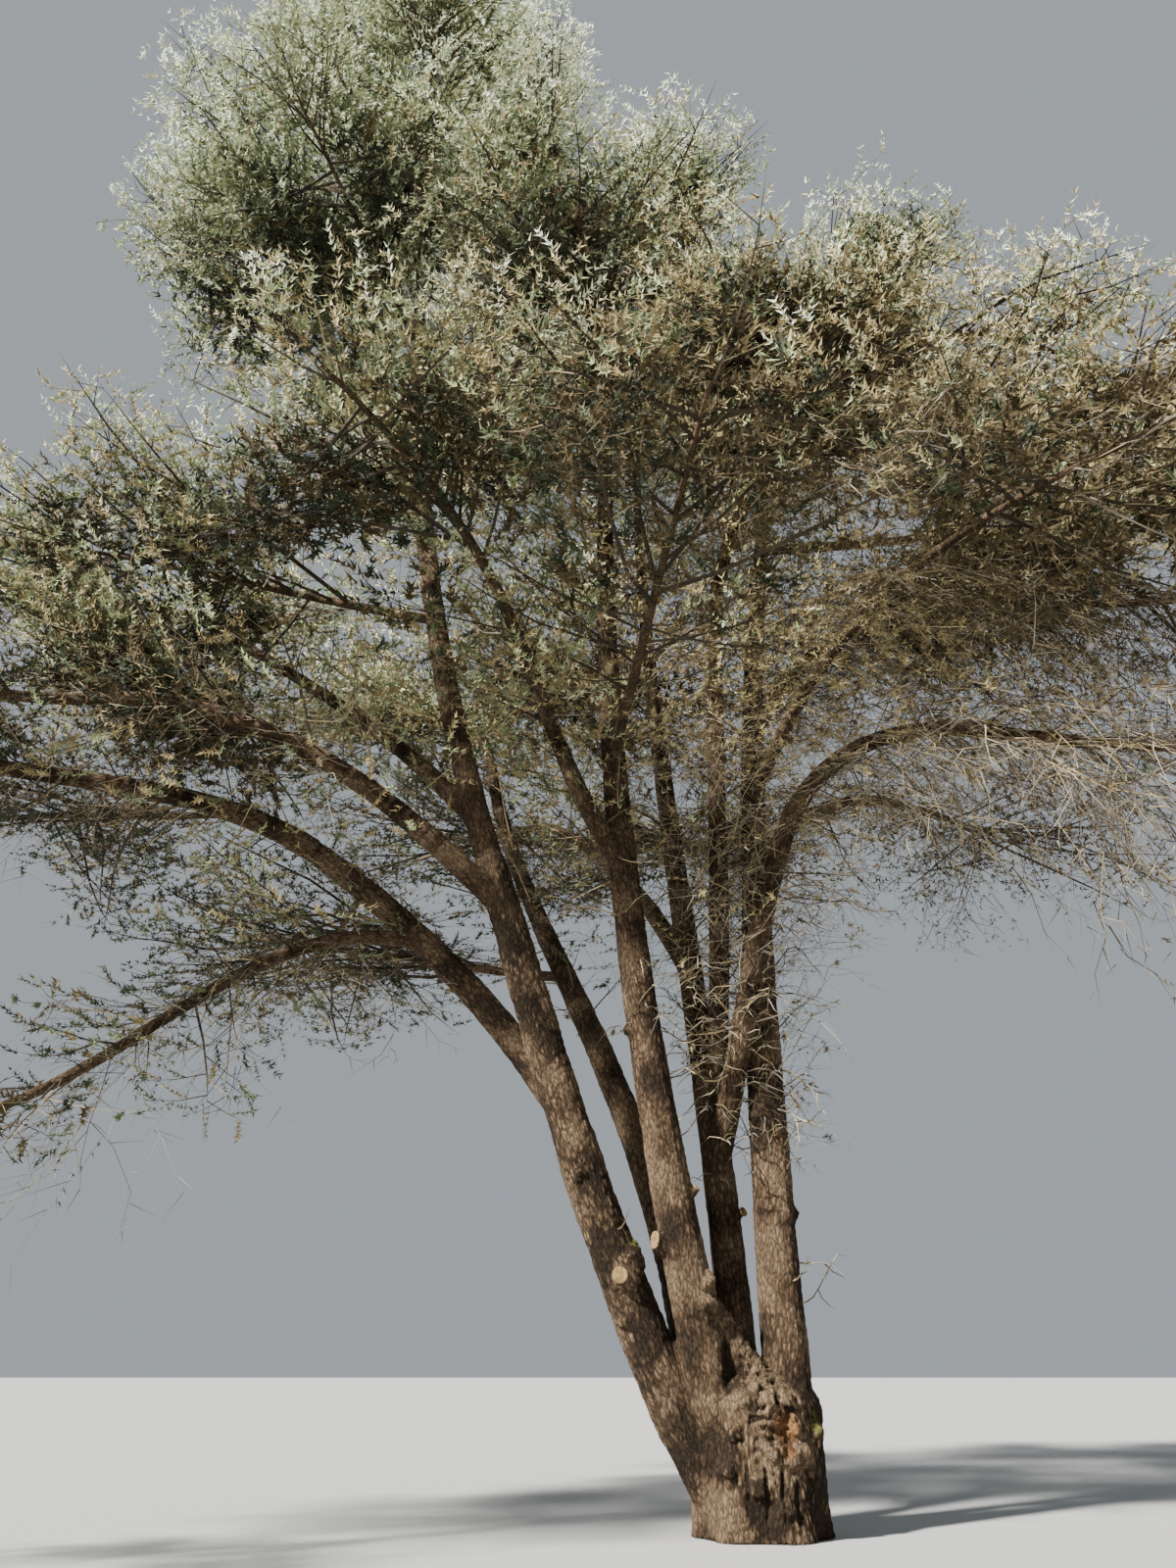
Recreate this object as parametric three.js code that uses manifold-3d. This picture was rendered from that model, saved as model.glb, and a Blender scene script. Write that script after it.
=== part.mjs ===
// A mature atlas cedar with many stems, in millimetres, +Z up.
// The origin is the middle of the flat cut under the butt, at ground level.
// +X is to the right and +Y away from a viewer who stands in front of the tree.
import * as THREE from "three";
import { mergeVertices } from "three/addons/utils/BufferGeometryUtils.js";
import Module from "manifold-3d";

const wasm = await Module();
wasm.setup();

// Driving dimensions
const CLEAR = 0.3; // gap between two solids that meet face to face
const TOUCH = 2; // least gap that a twig or spray keeps to anything it isn't fused to
const BUTT = {
  height: 1650, // where the stems part
  footHalfWidth: 690, // at the ground, between two root swells
  footHalfDepth: 610,
  headHalfWidth: 860,
  headHalfDepth: 600,
  lean: -120, // how far its middle moves along X on the way up
  rootReach: 95, // how far a root swell stands out at the ground
  rootSwells: 6,
};
const FULLNESS = 1.25; // how much wider and deeper than its own row a mass of foliage grows
// The core's share of a dense mass's space: the first that is clear of everything is taken.
const CORE_SHARES = [0.64, 0.5, 0.38];

const BARK = { color: 0x6f6152, roughness: 0.95, metalness: 0 };
const GOLDEN = 137.508; // degrees between one twig and the next round its stem
const UP = new THREE.Vector3(0, 0, 1);

// Small helpers
const rad = THREE.MathUtils.degToRad;
const mix = THREE.MathUtils.lerp;
const vec = (x, y, z) => new THREE.Vector3(x, y, z);
// An even, repeatable share from 0 to 1 for the n-th thing of its kind.
const share = (n, kind = 0) => (n * 0.6180339887 + kind * 0.7548776662 + 0.5) % 1;

// A closed geometry as a solid.
function solid(geometry) {
  const bare = new THREE.BufferGeometry();
  bare.setAttribute("position", geometry.getAttribute("position"));
  bare.setIndex(geometry.getIndex());
  const merged = mergeVertices(bare, 1e-3);
  return new wasm.Manifold(
    new wasm.Mesh({
      numProp: 3,
      vertProperties: merged.attributes.position.array,
      triVerts: new Uint32Array(merged.index.array),
    }),
  );
}

// A solid as a three.js geometry with flat faces.
function geometryOf(shape) {
  const mesh = shape.getMesh();
  const points = new Float32Array(mesh.numVert * 3);
  for (let i = 0; i < mesh.numVert; i++) {
    points.set(mesh.vertProperties.subarray(i * mesh.numProp, i * mesh.numProp + 3), i * 3);
  }
  const made = new THREE.BufferGeometry();
  made.setAttribute("position", new THREE.BufferAttribute(points, 3));
  made.setIndex(new THREE.BufferAttribute(mesh.triVerts, 1));
  const flat = made.toNonIndexed();
  flat.computeVertexNormals();
  return flat;
}

// The direction with this heading, from +X towards +Y, and this rise above level, in degrees.
function direction(heading, rise) {
  const level = Math.cos(rad(rise));
  return vec(level * Math.cos(rad(heading)), level * Math.sin(rad(heading)), Math.sin(rad(rise)));
}

// A value that runs through start, middle and end along a limb.
function through([start, middle, end], s) {
  return start + (4 * middle - 3 * start - end) * s + 2 * (start - 2 * middle + end) * s * s;
}

// The line of a limb: it sets off from a point, and its heading and rise change evenly along its length.
class LimbLine {
  constructor(start, { length, heading, rise, radius }) {
    const pieces = 80;
    this.length = length;
    this.radius = radius;
    this.points = [start.clone()];
    this.directions = [];
    for (let i = 0; i <= pieces; i++) {
      const s = i / pieces;
      this.directions.push(direction(mix(heading[0], heading[1], s), through(rise, s)));
    }
    for (let i = 0; i < pieces; i++) {
      const step = this.directions[i].clone().add(this.directions[i + 1]).multiplyScalar(length / pieces / 2);
      this.points.push(this.points[i].clone().add(step));
    }
  }
  sample(list, s) {
    const place = THREE.MathUtils.clamp(s, 0, 1) * (list.length - 1);
    const i = Math.min(Math.floor(place), list.length - 2);
    return list[i].clone().lerp(list[i + 1], place - i);
  }
  pointAt(s) {
    return this.sample(this.points, s);
  }
  directionAt(s) {
    return this.sample(this.directions, s).normalize();
  }
  radiusAt(s) {
    return mix(this.radius[0], this.radius[1], s);
  }
  // The share of the length at which the limb is clear of another limb's bark.
  clearOf(other, margin = 40) {
    const stations = 160;
    for (let i = 0; i <= stations; i++) {
      const s = i / stations;
      const here = this.pointAt(s);
      const apart = other.points.every((p, j) => {
        const reach = other.radiusAt(j / (other.points.length - 1)) + this.radiusAt(s) + margin;
        return p.distanceTo(here) > reach;
      });
      if (apart) return s;
    }
    return 1;
  }
}

// The same limb, but setting off the way its parent's tip points, so that their flat ends meet.
function goingOn(parent, limb) {
  const tip = parent.directionAt(1);
  const tipHeading = THREE.MathUtils.radToDeg(Math.atan2(tip.y, tip.x));
  const turn = ((limb.heading[1] - tipHeading + 540) % 360) - 180;
  const tipRise = THREE.MathUtils.radToDeg(Math.asin(tip.z));
  const heading = [limb.heading[1] - turn, limb.heading[1]];
  const rise = [tipRise, limb.rise[1], limb.rise[2]];
  return { ...limb, heading, rise };
}

// A round, tapering rod along part of a limb's line: a cylinder whose rings are moved onto the line.
function rod(line, from, to, sides, steps) {
  const shape = new THREE.CylinderGeometry(1, 1, 1, sides, steps);
  const at = shape.getAttribute("position");
  for (let i = 0; i < at.count; i++) {
    const s = mix(from, to, at.getY(i) + 0.5);
    const along = line.directionAt(s);
    const across = vec(0.31, -0.95, 0.05).cross(along).normalize();
    const third = along.clone().cross(across);
    const r = line.radiusAt(s);
    const p = line.pointAt(s);
    // The cylinder's own axis is Y, so its Z and X go across the line, in that order.
    p.addScaledVector(across, at.getZ(i) * r).addScaledVector(third, at.getX(i) * r);
    at.setXYZ(i, p.x, p.y, p.z);
  }
  return solid(shape);
}

// Limbs. Each sets off from a point on its parent, which is given as a share of the parent's length.
// Its line is given by its length in mm, its heading in degrees at its start and end, and its rise in degrees
// at its start, middle and end. Its radius in mm is given at its start and end, and then its sides and steps.
function limb(name, place, line, radius, [sides, steps]) {
  const [length, heading, rise] = line;
  return { name, ...place, length, heading, rise, radius, sides, steps };
}

// The stems start inside the butt, at `foot`, and the share `cut` of each is still part of it.
const STEMS = [
  limb("stem_left", { foot: [-860, -100, 1110], cut: 0.19 }, [7000, [190, 193], [64, 71, 72]],
    [290, 215], [10, 5]),
  limb("stem_middle", { foot: [-500, -250, 1210], cut: 0.1 }, [19500, [208, 21], [78, 86, 85]],
    [270, 50], [9, 9]),
  limb("stem_back_left", { foot: [-640, 300, 1300], cut: 0.13 }, [11000, [138, 127], [85, 59, 74]],
    [240, 105], [6, 5]),
  limb("stem_centre", { foot: [-120, 330, 1300], cut: 0.1 }, [15500, [165, 101], [88, 83, 89]],
    [230, 55], [8, 8]),
  limb("stem_right", { foot: [360, -80, 1200], cut: 0.085 }, [18900, [98, -4], [86, 83, 73]],
    [280, 50], [9, 9]),
];
const BOUGHS = [
  limb("leader", { from: "stem_left", at: 1 }, [17600, [176, 128], [72, 86, 88]],
    [185, 50], [8, 8]),
  limb("bough_left_arch", { from: "stem_left", at: 0.9 }, [5900, [207, 199], [38, 24, -14]],
    [165, 80], [8, 6]),
  limb("bough_left_rising", { from: "leader", at: 0.03 }, [7000, [148, 162], [50, 40, 38]],
    [140, 70], [6, 4]),
  limb("bough_left_long", { from: "stem_left", at: 0.51 }, [4900, [142, 216], [52, 46, 25]],
    [205, 165], [8, 5]),
  limb("bough_left_long_outer", { from: "bough_left_long", at: 1 }, [4300, [211, 205], [-14, 0, -1]],
    [160, 95], [6, 5]),
  limb("bough_left_drooping", { from: "bough_left_long", at: 0.62 }, [5200, [215, 222], [8, -36, -36]],
    [105, 55], [6, 5]),
  limb("bough_front_left", { from: "stem_middle", at: 0.34 }, [3600, [213, 243], [42, 56, 39]],
    [140, 85], [6, 4]),
  limb("stem_centre_right", { from: "stem_centre", at: 0.2 }, [7400, [304, 294], [78, 87, 83]],
    [150, 115], [6, 5]),
  limb("bough_right_shoulder", { from: "stem_centre_right", at: 1 }, [5200, [342, 353], [80, 42, 38]],
    [112, 65], [6, 6]),
  limb("stem_leaning_right", { from: "stem_centre", at: 0.17 }, [4300, [298, 306], [62, 69, 58]],
    [165, 130], [6, 4]),
  limb("bough_right_low", { from: "stem_leaning_right", at: 1 }, [4600, [325, 321], [20, -14, -24]],
    [126, 65], [6, 5]),
  limb("bough_right_middle", { from: "stem_right", at: 0.475 }, [5400, [315, 326], [60, 0, -30]],
    [120, 60], [6, 6]),
  limb("bough_right_high", { from: "bough_right_shoulder", at: 0.62 }, [3600, [318, 323], [-18, -24, -30]],
    [80, 50], [6, 3]),
  limb("bough_back_low_left", { from: "stem_centre", at: 0.33 }, [5200, [150, 112], [66, 44, 22]],
    [135, 65], [6, 4]),
  limb("bough_front_right", { from: "stem_right", at: 0.42 }, [4400, [292, 300], [40, 22, 0]],
    [110, 60], [6, 4]),
  limb("bough_back_right", { from: "stem_right", at: 0.36 }, [6200, [52, 44], [46, 28, 8]],
    [140, 65], [6, 5]),
];

// Foliage. Each mass grows on from a limb, at its tip or out of its side, and fills a flattened egg of space.
// It is given by its limb, its name, the share of the limb's length, and its heading and rise in degrees.
// Then come how far it goes from the limb, half its width and half its height in mm. A dense mass has a core.
const DENSE = true;
function mass(from, name, at, [heading, rise], [reach, spread, depth], dense = false) {
  return { name: "foliage_" + name, from, at, heading, rise, reach, spread, depth, dense };
}
const MASSES = [
  // Round the leader, from its tip down.
  mass("leader", "top", 1, [150, 84], [2300, 1400, 1400], DENSE),
  mass("leader", "top_left", 0.9, [194, 12], [3200, 2200, 1300], DENSE),
  mass("leader", "top_right", 0.9, [12, 14], [2900, 1800, 1200], DENSE),
  mass("leader", "top_front", 0.8, [278, 12], [3500, 1800, 1300], DENSE),
  mass("leader", "top_back", 0.8, [96, 14], [4600, 2500, 1500], DENSE),
  mass("leader", "upper_left", 0.72, [196, 8], [4700, 2100, 1200], DENSE),
  mass("leader", "upper_right", 0.7, [350, 12], [4000, 2200, 1400], DENSE),
  mass("leader", "middle_left", 0.58, [180, 8], [4700, 2500, 1400], DENSE),
  mass("leader", "middle_front", 0.54, [250, 12], [4900, 2400, 1400], DENSE),
  mass("leader", "middle_back", 0.56, [92, 10], [6200, 2900, 1500], DENSE),
  // On the left.
  mass("leader", "left_shoulder", 0.22, [184, 8], [6900, 2500, 1100], DENSE),
  mass("bough_left_arch", "left_arch", 0.56, [164, 22], [4200, 2100, 1100], DENSE),
  mass("bough_left_arch", "left_front", 1, [198, 2], [5600, 2700, 1400], DENSE),
  mass("bough_left_rising", "left_back", 1, [164, 8], [5800, 2900, 1500], DENSE),
  mass("bough_left_long_outer", "left_low", 1, [204, -6], [4600, 2200, 1200]),
  mass("bough_left_long_outer", "left_low_back", 0.3, [158, 6], [4600, 2300, 1100]),
  mass("bough_left_long", "left_low_inner", 0.86, [112, -4], [4200, 2000, 1000]),
  mass("bough_left_drooping", "left_drooping", 1, [222, -26], [3600, 1900, 1000]),
  mass("stem_back_left", "back_left_high", 1, [128, 26], [5800, 3000, 1700], DENSE),
  mass("stem_back_left", "back_left_low", 0.55, [160, 10], [7400, 2700, 1300]),
  mass("bough_back_low_left", "back_low", 1, [126, 10], [5000, 2700, 1400]),
  // In the middle.
  mass("stem_middle", "centre_top", 1, [30, 44], [2800, 2000, 1500], DENSE),
  mass("stem_middle", "centre_front", 0.7, [264, 16], [5400, 2700, 1700], DENSE),
  mass("bough_front_left", "front_left", 1, [226, 18], [5000, 2500, 1500], DENSE),
  mass("stem_middle", "front_low", 0.43, [280, 14], [7200, 2500, 1500], DENSE),
  mass("stem_centre", "centre_back", 1, [42, 56], [4800, 2700, 2200], DENSE),
  mass("stem_centre", "centre_inner", 0.66, [118, 20], [5200, 2500, 1600], DENSE),
  mass("stem_centre", "back_middle", 0.5, [84, 16], [9600, 2900, 1600], DENSE),
  // On the right.
  mass("stem_right", "right_top", 1, [12, 26], [2800, 2000, 1400], DENSE),
  mass("bough_right_shoulder", "right_shoulder", 1, [12, -20], [4800, 2200, 1050], DENSE),
  mass("bough_right_shoulder", "right_front", 0.42, [272, 4], [4300, 2300, 1250], DENSE),
  mass("bough_right_high", "right_high", 1, [350, -34], [4600, 2200, 1050], DENSE),
  mass("bough_right_middle", "right_middle", 1, [332, -10], [5400, 2600, 1500]),
  mass("bough_right_middle", "right_inner", 0.42, [10, 22], [4600, 2000, 1300], DENSE),
  mass("bough_right_low", "right_low", 1, [324, -16], [4800, 2400, 1300]),
  mass("bough_front_right", "front_right", 1, [302, -12], [4500, 2400, 1150], DENSE),
  mass("bough_back_right", "back_right", 1, [42, 2], [5000, 2900, 1500]),
  mass("stem_right", "right_back", 0.68, [16, 14], [9200, 2900, 1700], DENSE),
];

// Where dead boughs were sawn off: a short peg on a limb, at a share of its length.
const SAWN_PEGS = [
  { on: "stem_left", at: 0.228, heading: 264, rise: 2, radius: 90, length: 110 },
  { on: "stem_middle", at: 0.09, heading: 205, rise: 5, radius: 100, length: 90 },
  { on: "stem_middle", at: 0.108, heading: 340, rise: 45, radius: 55, length: 120 },
  { on: "stem_centre", at: 0.125, heading: 314, rise: 20, radius: 60, length: 110 },
];

const lines = new Map();
const woods = new Map(); // limb name to its solid
const group = new THREE.Group();

// The butt: a leaning, swelling body on a flat cut, with root swells and a domed crotch between the stems.
function makeButt() {
  const sides = 18;
  const rings = 6;
  const domeFrom = 0.72; // of the height
  const shape = new THREE.CylinderGeometry(1, 1, 1, sides, rings);
  const at = shape.getAttribute("position");
  for (let i = 0; i < at.count; i++) {
    const up = at.getY(i) + 0.5;
    const round = Math.atan2(at.getZ(i), at.getX(i));
    const onAxis = Math.hypot(at.getX(i), at.getZ(i)) < 0.5;
    const overDome = Math.max(0, up - domeFrom) / (1.02 - domeFrom);
    const dome = Math.sqrt(1 - overDome ** 2);
    const swell = BUTT.rootReach * (0.5 + 0.5 * Math.cos(BUTT.rootSwells * round + 0.6)) * (1 - up) ** 6;
    const halfWidth = mix(BUTT.footHalfWidth, BUTT.headHalfWidth, up) + swell;
    const halfDepth = mix(BUTT.footHalfDepth, BUTT.headHalfDepth, up) + swell;
    const centre = vec(BUTT.lean * up ** 1.4, 0, up * BUTT.height);
    if (!onAxis) {
      centre.x += Math.cos(round) * halfWidth * dome;
      centre.y += Math.sin(round) * halfDepth * dome;
    }
    at.setXYZ(i, centre.x, centre.y, centre.z);
  }
  // Y and Z have changed places, which turns the faces round, so each triangle is turned back.
  const turns = shape.getIndex();
  for (let i = 0; i < turns.count; i += 3) {
    const first = turns.getX(i);
    turns.setX(i, turns.getX(i + 1));
    turns.setX(i + 1, first);
  }
  return solid(shape);
}

// A sawn-off peg, to be fused to the limb that it stands on.
function sawnPeg({ on, at, heading, rise, radius, length }) {
  const line = lines.get(on);
  const spec = { heading: [heading, heading], rise: [rise, rise, rise], radius: [radius * 1.25, radius] };
  const peg = new LimbLine(line.pointAt(at), { ...spec, length: line.radiusAt(at) + length });
  return rod(peg, 0.2, 1, 8, 1);
}

// Wood that has grown in where stems lean: a heel under the left one, and a ridge in the fork of the middle.
const WEBS = [
  { foot: [-430, -80, 300], head: [-860, -100, 1110], radius: [275, 290] },
  { foot: [110, -200, 1350], head: [-550, -200, 2260], radius: [200, 190] },
];
function web({ foot, head, radius }) {
  const rises = vec(...head).sub(vec(...foot));
  const length = rises.length();
  const heading = THREE.MathUtils.radToDeg(Math.atan2(rises.y, rises.x));
  const rise = THREE.MathUtils.radToDeg(Math.asin(rises.z / length));
  const spec = { length, heading: [heading, heading], rise: [rise, rise, rise], radius };
  return rod(new LimbLine(vec(...foot), spec), 0, 1, 10, 1);
}

// The butt takes in the foot of each stem, and a limb the foot of each bough that leaves its side.
let butt = makeButt();
for (const stem of STEMS) {
  const line = new LimbLine(vec(...stem.foot), stem);
  lines.set(stem.name, line);
  butt = butt.add(rod(line, 0, stem.cut, stem.sides, 3));
  const gap = CLEAR / stem.length;
  woods.set(stem.name, rod(line, stem.cut + gap, 1, stem.sides, stem.steps));
}
for (const row of WEBS) butt = butt.add(web(row));
for (const bough of BOUGHS) {
  const parent = lines.get(bough.from);
  const onTip = bough.at === 1;
  const line = new LimbLine(parent.pointAt(bough.at), onTip ? goingOn(parent, bough) : bough);
  lines.set(bough.name, line);
  const cut = onTip ? 0 : line.clearOf(parent);
  if (!onTip) {
    woods.set(bough.from, woods.get(bough.from).add(rod(line, 0, cut, bough.sides, 2)));
  }
  woods.set(bough.name, rod(line, cut + CLEAR / bough.length, 1, bough.sides, bough.steps));
}
for (const peg of SAWN_PEGS) {
  const made = sawnPeg(peg);
  const cut = STEMS.find((stem) => stem.name === peg.on).cut;
  if (peg.at < cut) butt = butt.add(made);
  else woods.set(peg.on, woods.get(peg.on).add(made));
}
woods.set("butt", butt);

// The space of one mass: a flattened egg that sets off from a limb.
class Space {
  constructor(row) {
    const mass = { ...row, spread: row.spread * FULLNESS, depth: row.depth * FULLNESS };
    const line = lines.get(mass.from);
    this.mass = mass;
    this.along = direction(mass.heading, mass.rise);
    this.side = UP.clone().cross(this.along).normalize();
    this.lift = this.along.clone().cross(this.side);
    this.root = line.pointAt(mass.at);
    this.onTip = mass.at === 1;
    const clearance = this.onTip ? 0 : line.radiusAt(mass.at) * 1.5;
    this.start = this.root.clone().addScaledVector(this.along, clearance);
    // A long mass is bare near its limb.
    this.half = Math.min(mass.reach * 0.54, 3000);
    this.centre = this.start.clone().addScaledVector(this.along, mass.reach - this.half);
    this.weight = ((this.half + mass.spread + mass.depth) / 3) ** 2;
  }
  // 0 in the middle of the egg and 1 on its surface.
  depthOf(point) {
    const out = point.clone().sub(this.centre);
    const { spread, depth } = this.mass;
    const [ahead, beside, above] = [out.dot(this.along), out.dot(this.side), out.dot(this.lift)];
    return Math.hypot(ahead / this.half, beside / spread, above / depth);
  }
  // How far one can go from a point in a direction before leaving the egg.
  room(point, way) {
    let far = 0;
    const step = 50;
    const most = 6000;
    while (far < most && this.depthOf(point.clone().addScaledVector(way, far + step)) < 1) far += step;
    return far;
  }
  // Whether a point is nearer to this mass than to any other.
  owns(point) {
    const distance = (space) => point.distanceToSquared(space.centre) - space.weight;
    return spaces.every((other) => other === this || distance(other) > distance(this));
  }
}
const spaces = MASSES.map((mass) => new Space(mass));

// A straight three-sided twig that runs out to a point.
function twig(from, way, length, thick) {
  const shape = new THREE.ConeGeometry(thick, length, 3, 1);
  shape.translate(0, length / 2, 0);
  shape.applyQuaternion(new THREE.Quaternion().setFromUnitVectors(vec(0, 1, 0), way));
  shape.translate(from.x, from.y, from.z);
  return solid(shape);
}

// A spray of needles as a thin toothed blade. Half its outline is given in shares of its length: how far
// along it and how far to one side.
const SPRAY_SIDE = [
  [0.5, 0.33],
  [0.58, 0.15],
];
const SPRAY_MIDDLE = 0.4; // where it is thickest, along it
const SPRAY_THICKNESS = 0.028; // half, as a share of its length
function spray(root, way, normal, length) {
  const otherSide = SPRAY_SIDE.map(([x, y]) => [x, -y]).reverse();
  const outline = [[0, 0], ...SPRAY_SIDE, [1, 0], ...otherSide];
  const shape = new THREE.SphereGeometry(1, outline.length, 2);
  const at = shape.getAttribute("position");
  const across = normal.clone().cross(way).normalize();
  const upward = way.clone().cross(across);
  for (let i = 0; i < at.count; i++) {
    const corner = Math.round((Math.atan2(at.getZ(i), at.getX(i)) / (2 * Math.PI)) * outline.length);
    const pole = Math.abs(at.getY(i)) > 0.5;
    const [x, y] = pole ? [SPRAY_MIDDLE, 0] : outline[(corner + outline.length) % outline.length];
    const p = root.clone().addScaledVector(way, x * length).addScaledVector(across, y * length);
    if (pole) p.addScaledVector(upward, Math.sign(at.getY(i)) * SPRAY_THICKNESS * length);
    at.setXYZ(i, p.x, p.y, p.z);
  }
  return solid(shape);
}

// The smaller core of a dense mass: a lens with an uneven skin.
function core(space, size, seed) {
  const shape = new THREE.SphereGeometry(1, 7, 3);
  const at = shape.getAttribute("position");
  for (let i = 0; i < at.count; i++) {
    const [x, y, z] = [at.getX(i), at.getY(i), at.getZ(i)];
    const corner = Math.round(3 * x) + 5 * Math.round(3 * y) + 7 * Math.round(3 * z) + 40;
    const uneven = size * (0.85 + 0.3 * share(corner, seed));
    const p = space.centre.clone();
    p.addScaledVector(space.along, x * uneven * space.half);
    p.addScaledVector(space.side, -z * uneven * space.mass.spread);
    p.addScaledVector(space.lift, y * uneven * space.mass.depth);
    at.setXYZ(i, p.x, p.y, p.z);
  }
  return solid(shape);
}

// Every solid that a new one has to stay clear of, with its owner's name and the step of growth that made it.
const pieces = [];

function boxesMeet(a, b, margin) {
  return [0, 1, 2].every((k) => a.min[k] - margin < b.max[k] && b.min[k] - margin < a.max[k]);
}
// A new piece may touch only what it grows on: pieces of the same owner at the steps named in `grownOn`.
function isClear(candidate, owner, grownOn) {
  const box = candidate.boundingBox();
  return pieces.every(
    (other) =>
      (other.owner === owner && grownOn.includes(other.step)) ||
      !boxesMeet(box, other.box, TOUCH) ||
      candidate.minGap(other.solid, TOUCH) >= TOUCH,
  );
}
function keep(made, owner, step) {
  pieces.push({ solid: made, owner, step, box: made.boundingBox() });
  return made;
}

for (const [name, wood] of woods) keep(wood, name, "limb");

// The stem of a mass goes straight on from its limb, and meets it flat to flat.
const STEM_SHARE = 0.8; // of the reach
const STEM_SIDES = 3;
function stemOf(space) {
  const { mass } = space;
  const line = lines.get(mass.from);
  const radius = space.onTip ? line.radiusAt(1) : 12 + mass.reach / 110;
  const length = mass.reach * STEM_SHARE;
  const heading = [mass.heading, mass.heading];
  const rise = [mass.rise, mass.rise + 4, mass.rise];
  const spec = { length, heading, rise, radius: [radius, radius * 0.35] };
  const stem = new LimbLine(space.root, space.onTip ? goingOn(line, spec) : spec);
  if (space.onTip) return { stem, from: CLEAR / length };
  const cut = stem.clearOf(line, 20);
  const parent = mass.from;
  woods.set(parent, woods.get(parent).add(rod(stem, 0, cut, STEM_SIDES, 1)));
  return { stem, from: cut + CLEAR / length };
}
for (const space of spaces) {
  const { stem, from } = stemOf(space);
  space.stem = stem;
  space.solid = keep(rod(stem, from, 1, STEM_SIDES, 2), space.mass.name, "stem");
}
for (const piece of pieces) {
  if (woods.has(piece.owner)) {
    piece.solid = woods.get(piece.owner);
    piece.box = piece.solid.boundingBox();
  }
}

// A dense mass has the largest core that is clear of every limb and of every other mass.
for (const [i, space] of spaces.entries()) {
  if (!space.mass.dense) continue;
  const cores = CORE_SHARES.map((size) => core(space, size, i));
  const made = cores.find((one) => isClear(one, space.mass.name, ["stem"]));
  if (!made) continue;
  space.solid = space.solid.add(made);
  keep(made, space.mass.name, "core");
}

// Twigs branch off the stem by the golden angle, and each has a spray at its tip and one beside it.
const TRIES = 14; // twigs that are tried on each stem
const SPRAYS = { dense: 8, open: 7 }; // after which a mass is full
const TWIG_ANGLE = 58; // degrees off the stem
const SPRAY_LENGTH = [1700, 2900];
const TWIG_LENGTH = [500, 2900];
const TWIG_STOPS_SHORT = 1300; // of the skin of its space, to leave room for the spray
const TWIG_RADIUS = 38;
const OVERHANG = 1.2; // how far out a spray's tip may be, where 1 is the skin of its space
function addSpray(space, root, way, normal, seed, step) {
  if (space.sprays >= (space.mass.dense ? SPRAYS.dense : SPRAYS.open)) return;
  const most = mix(0.8, 1, share(seed, 3)) * SPRAY_LENGTH[1];
  const length = THREE.MathUtils.clamp(space.room(root, way), SPRAY_LENGTH[0], most);
  const tip = root.clone().addScaledVector(way, length);
  const middle = root.clone().addScaledVector(way, length / 2);
  if (!space.owns(middle) || space.depthOf(tip) > OVERHANG) return;
  const made = spray(root, way, normal, length);
  if (!isClear(made, space.mass.name, ["core", step])) return;
  space.solid = space.solid.add(made);
  keep(made, space.mass.name, "spray");
  space.sprays += 1;
}
for (const [m, space] of spaces.entries()) {
  const { stem, mass } = space;
  space.sprays = 0;
  const bare = Math.max(0.2, 1 - (1.9 * space.half) / mass.reach);
  const end = stem.directionAt(1);
  const endNormal = end.clone().cross(UP).cross(end).normalize();
  addSpray(space, stem.pointAt(0.96), end, endNormal, m, "stem");
  for (let k = 0; k < TRIES; k++) {
    const s = mix(bare, 0.96, share(k, 0.3 * m));
    const root = stem.pointAt(s);
    const along = stem.directionAt(s);
    const side = UP.clone().cross(along).normalize();
    const lift = along.clone().cross(side);
    const roll = rad(GOLDEN * k + 61 * m);
    const out = rad(TWIG_ANGLE * mix(0.8, 1.2, share(k, m)));
    const flat = mass.depth / mass.spread;
    const way = along.clone().multiplyScalar(Math.cos(out));
    way.addScaledVector(side, Math.sin(out) * Math.cos(roll));
    way.addScaledVector(lift, Math.sin(out) * Math.sin(roll) * flat).normalize();
    const length = THREE.MathUtils.clamp(space.room(root, way) - TWIG_STOPS_SHORT, ...TWIG_LENGTH);
    const made = twig(root, way, length, TWIG_RADIUS);
    const tip = root.clone().addScaledVector(way, length);
    if (!space.owns(tip) || !isClear(made, mass.name, ["stem", "core"])) continue;
    const step = "twig " + k;
    const normal = way.clone().cross(UP).cross(way).normalize();
    normal.applyAxisAngle(way, rad(50 * (share(k, m + 1) - 0.5)));
    const before = space.sprays;
    const bareSolid = space.solid;
    space.solid = space.solid.add(made);
    keep(made, mass.name, step);
    addSpray(space, root.clone().addScaledVector(way, length * 0.86), way, normal, k + 7 * m, step);
    const beside = way.clone().applyAxisAngle(normal, rad(k % 2 ? 52 : -52));
    addSpray(space, root.clone().addScaledVector(way, length * 0.55), beside, normal, k + 11 * m, step);
    if (space.sprays === before) {
      // A twig that can carry no spray isn't kept.
      space.solid = bareSolid;
      pieces.pop();
    }
  }
}

// The largest body of a solid: loose scraps and sealed hollows are left out of it.
function mainBody(shape) {
  return shape.decompose().reduce((best, part) => (part.volume() > best.volume() ? part : best));
}

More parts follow.
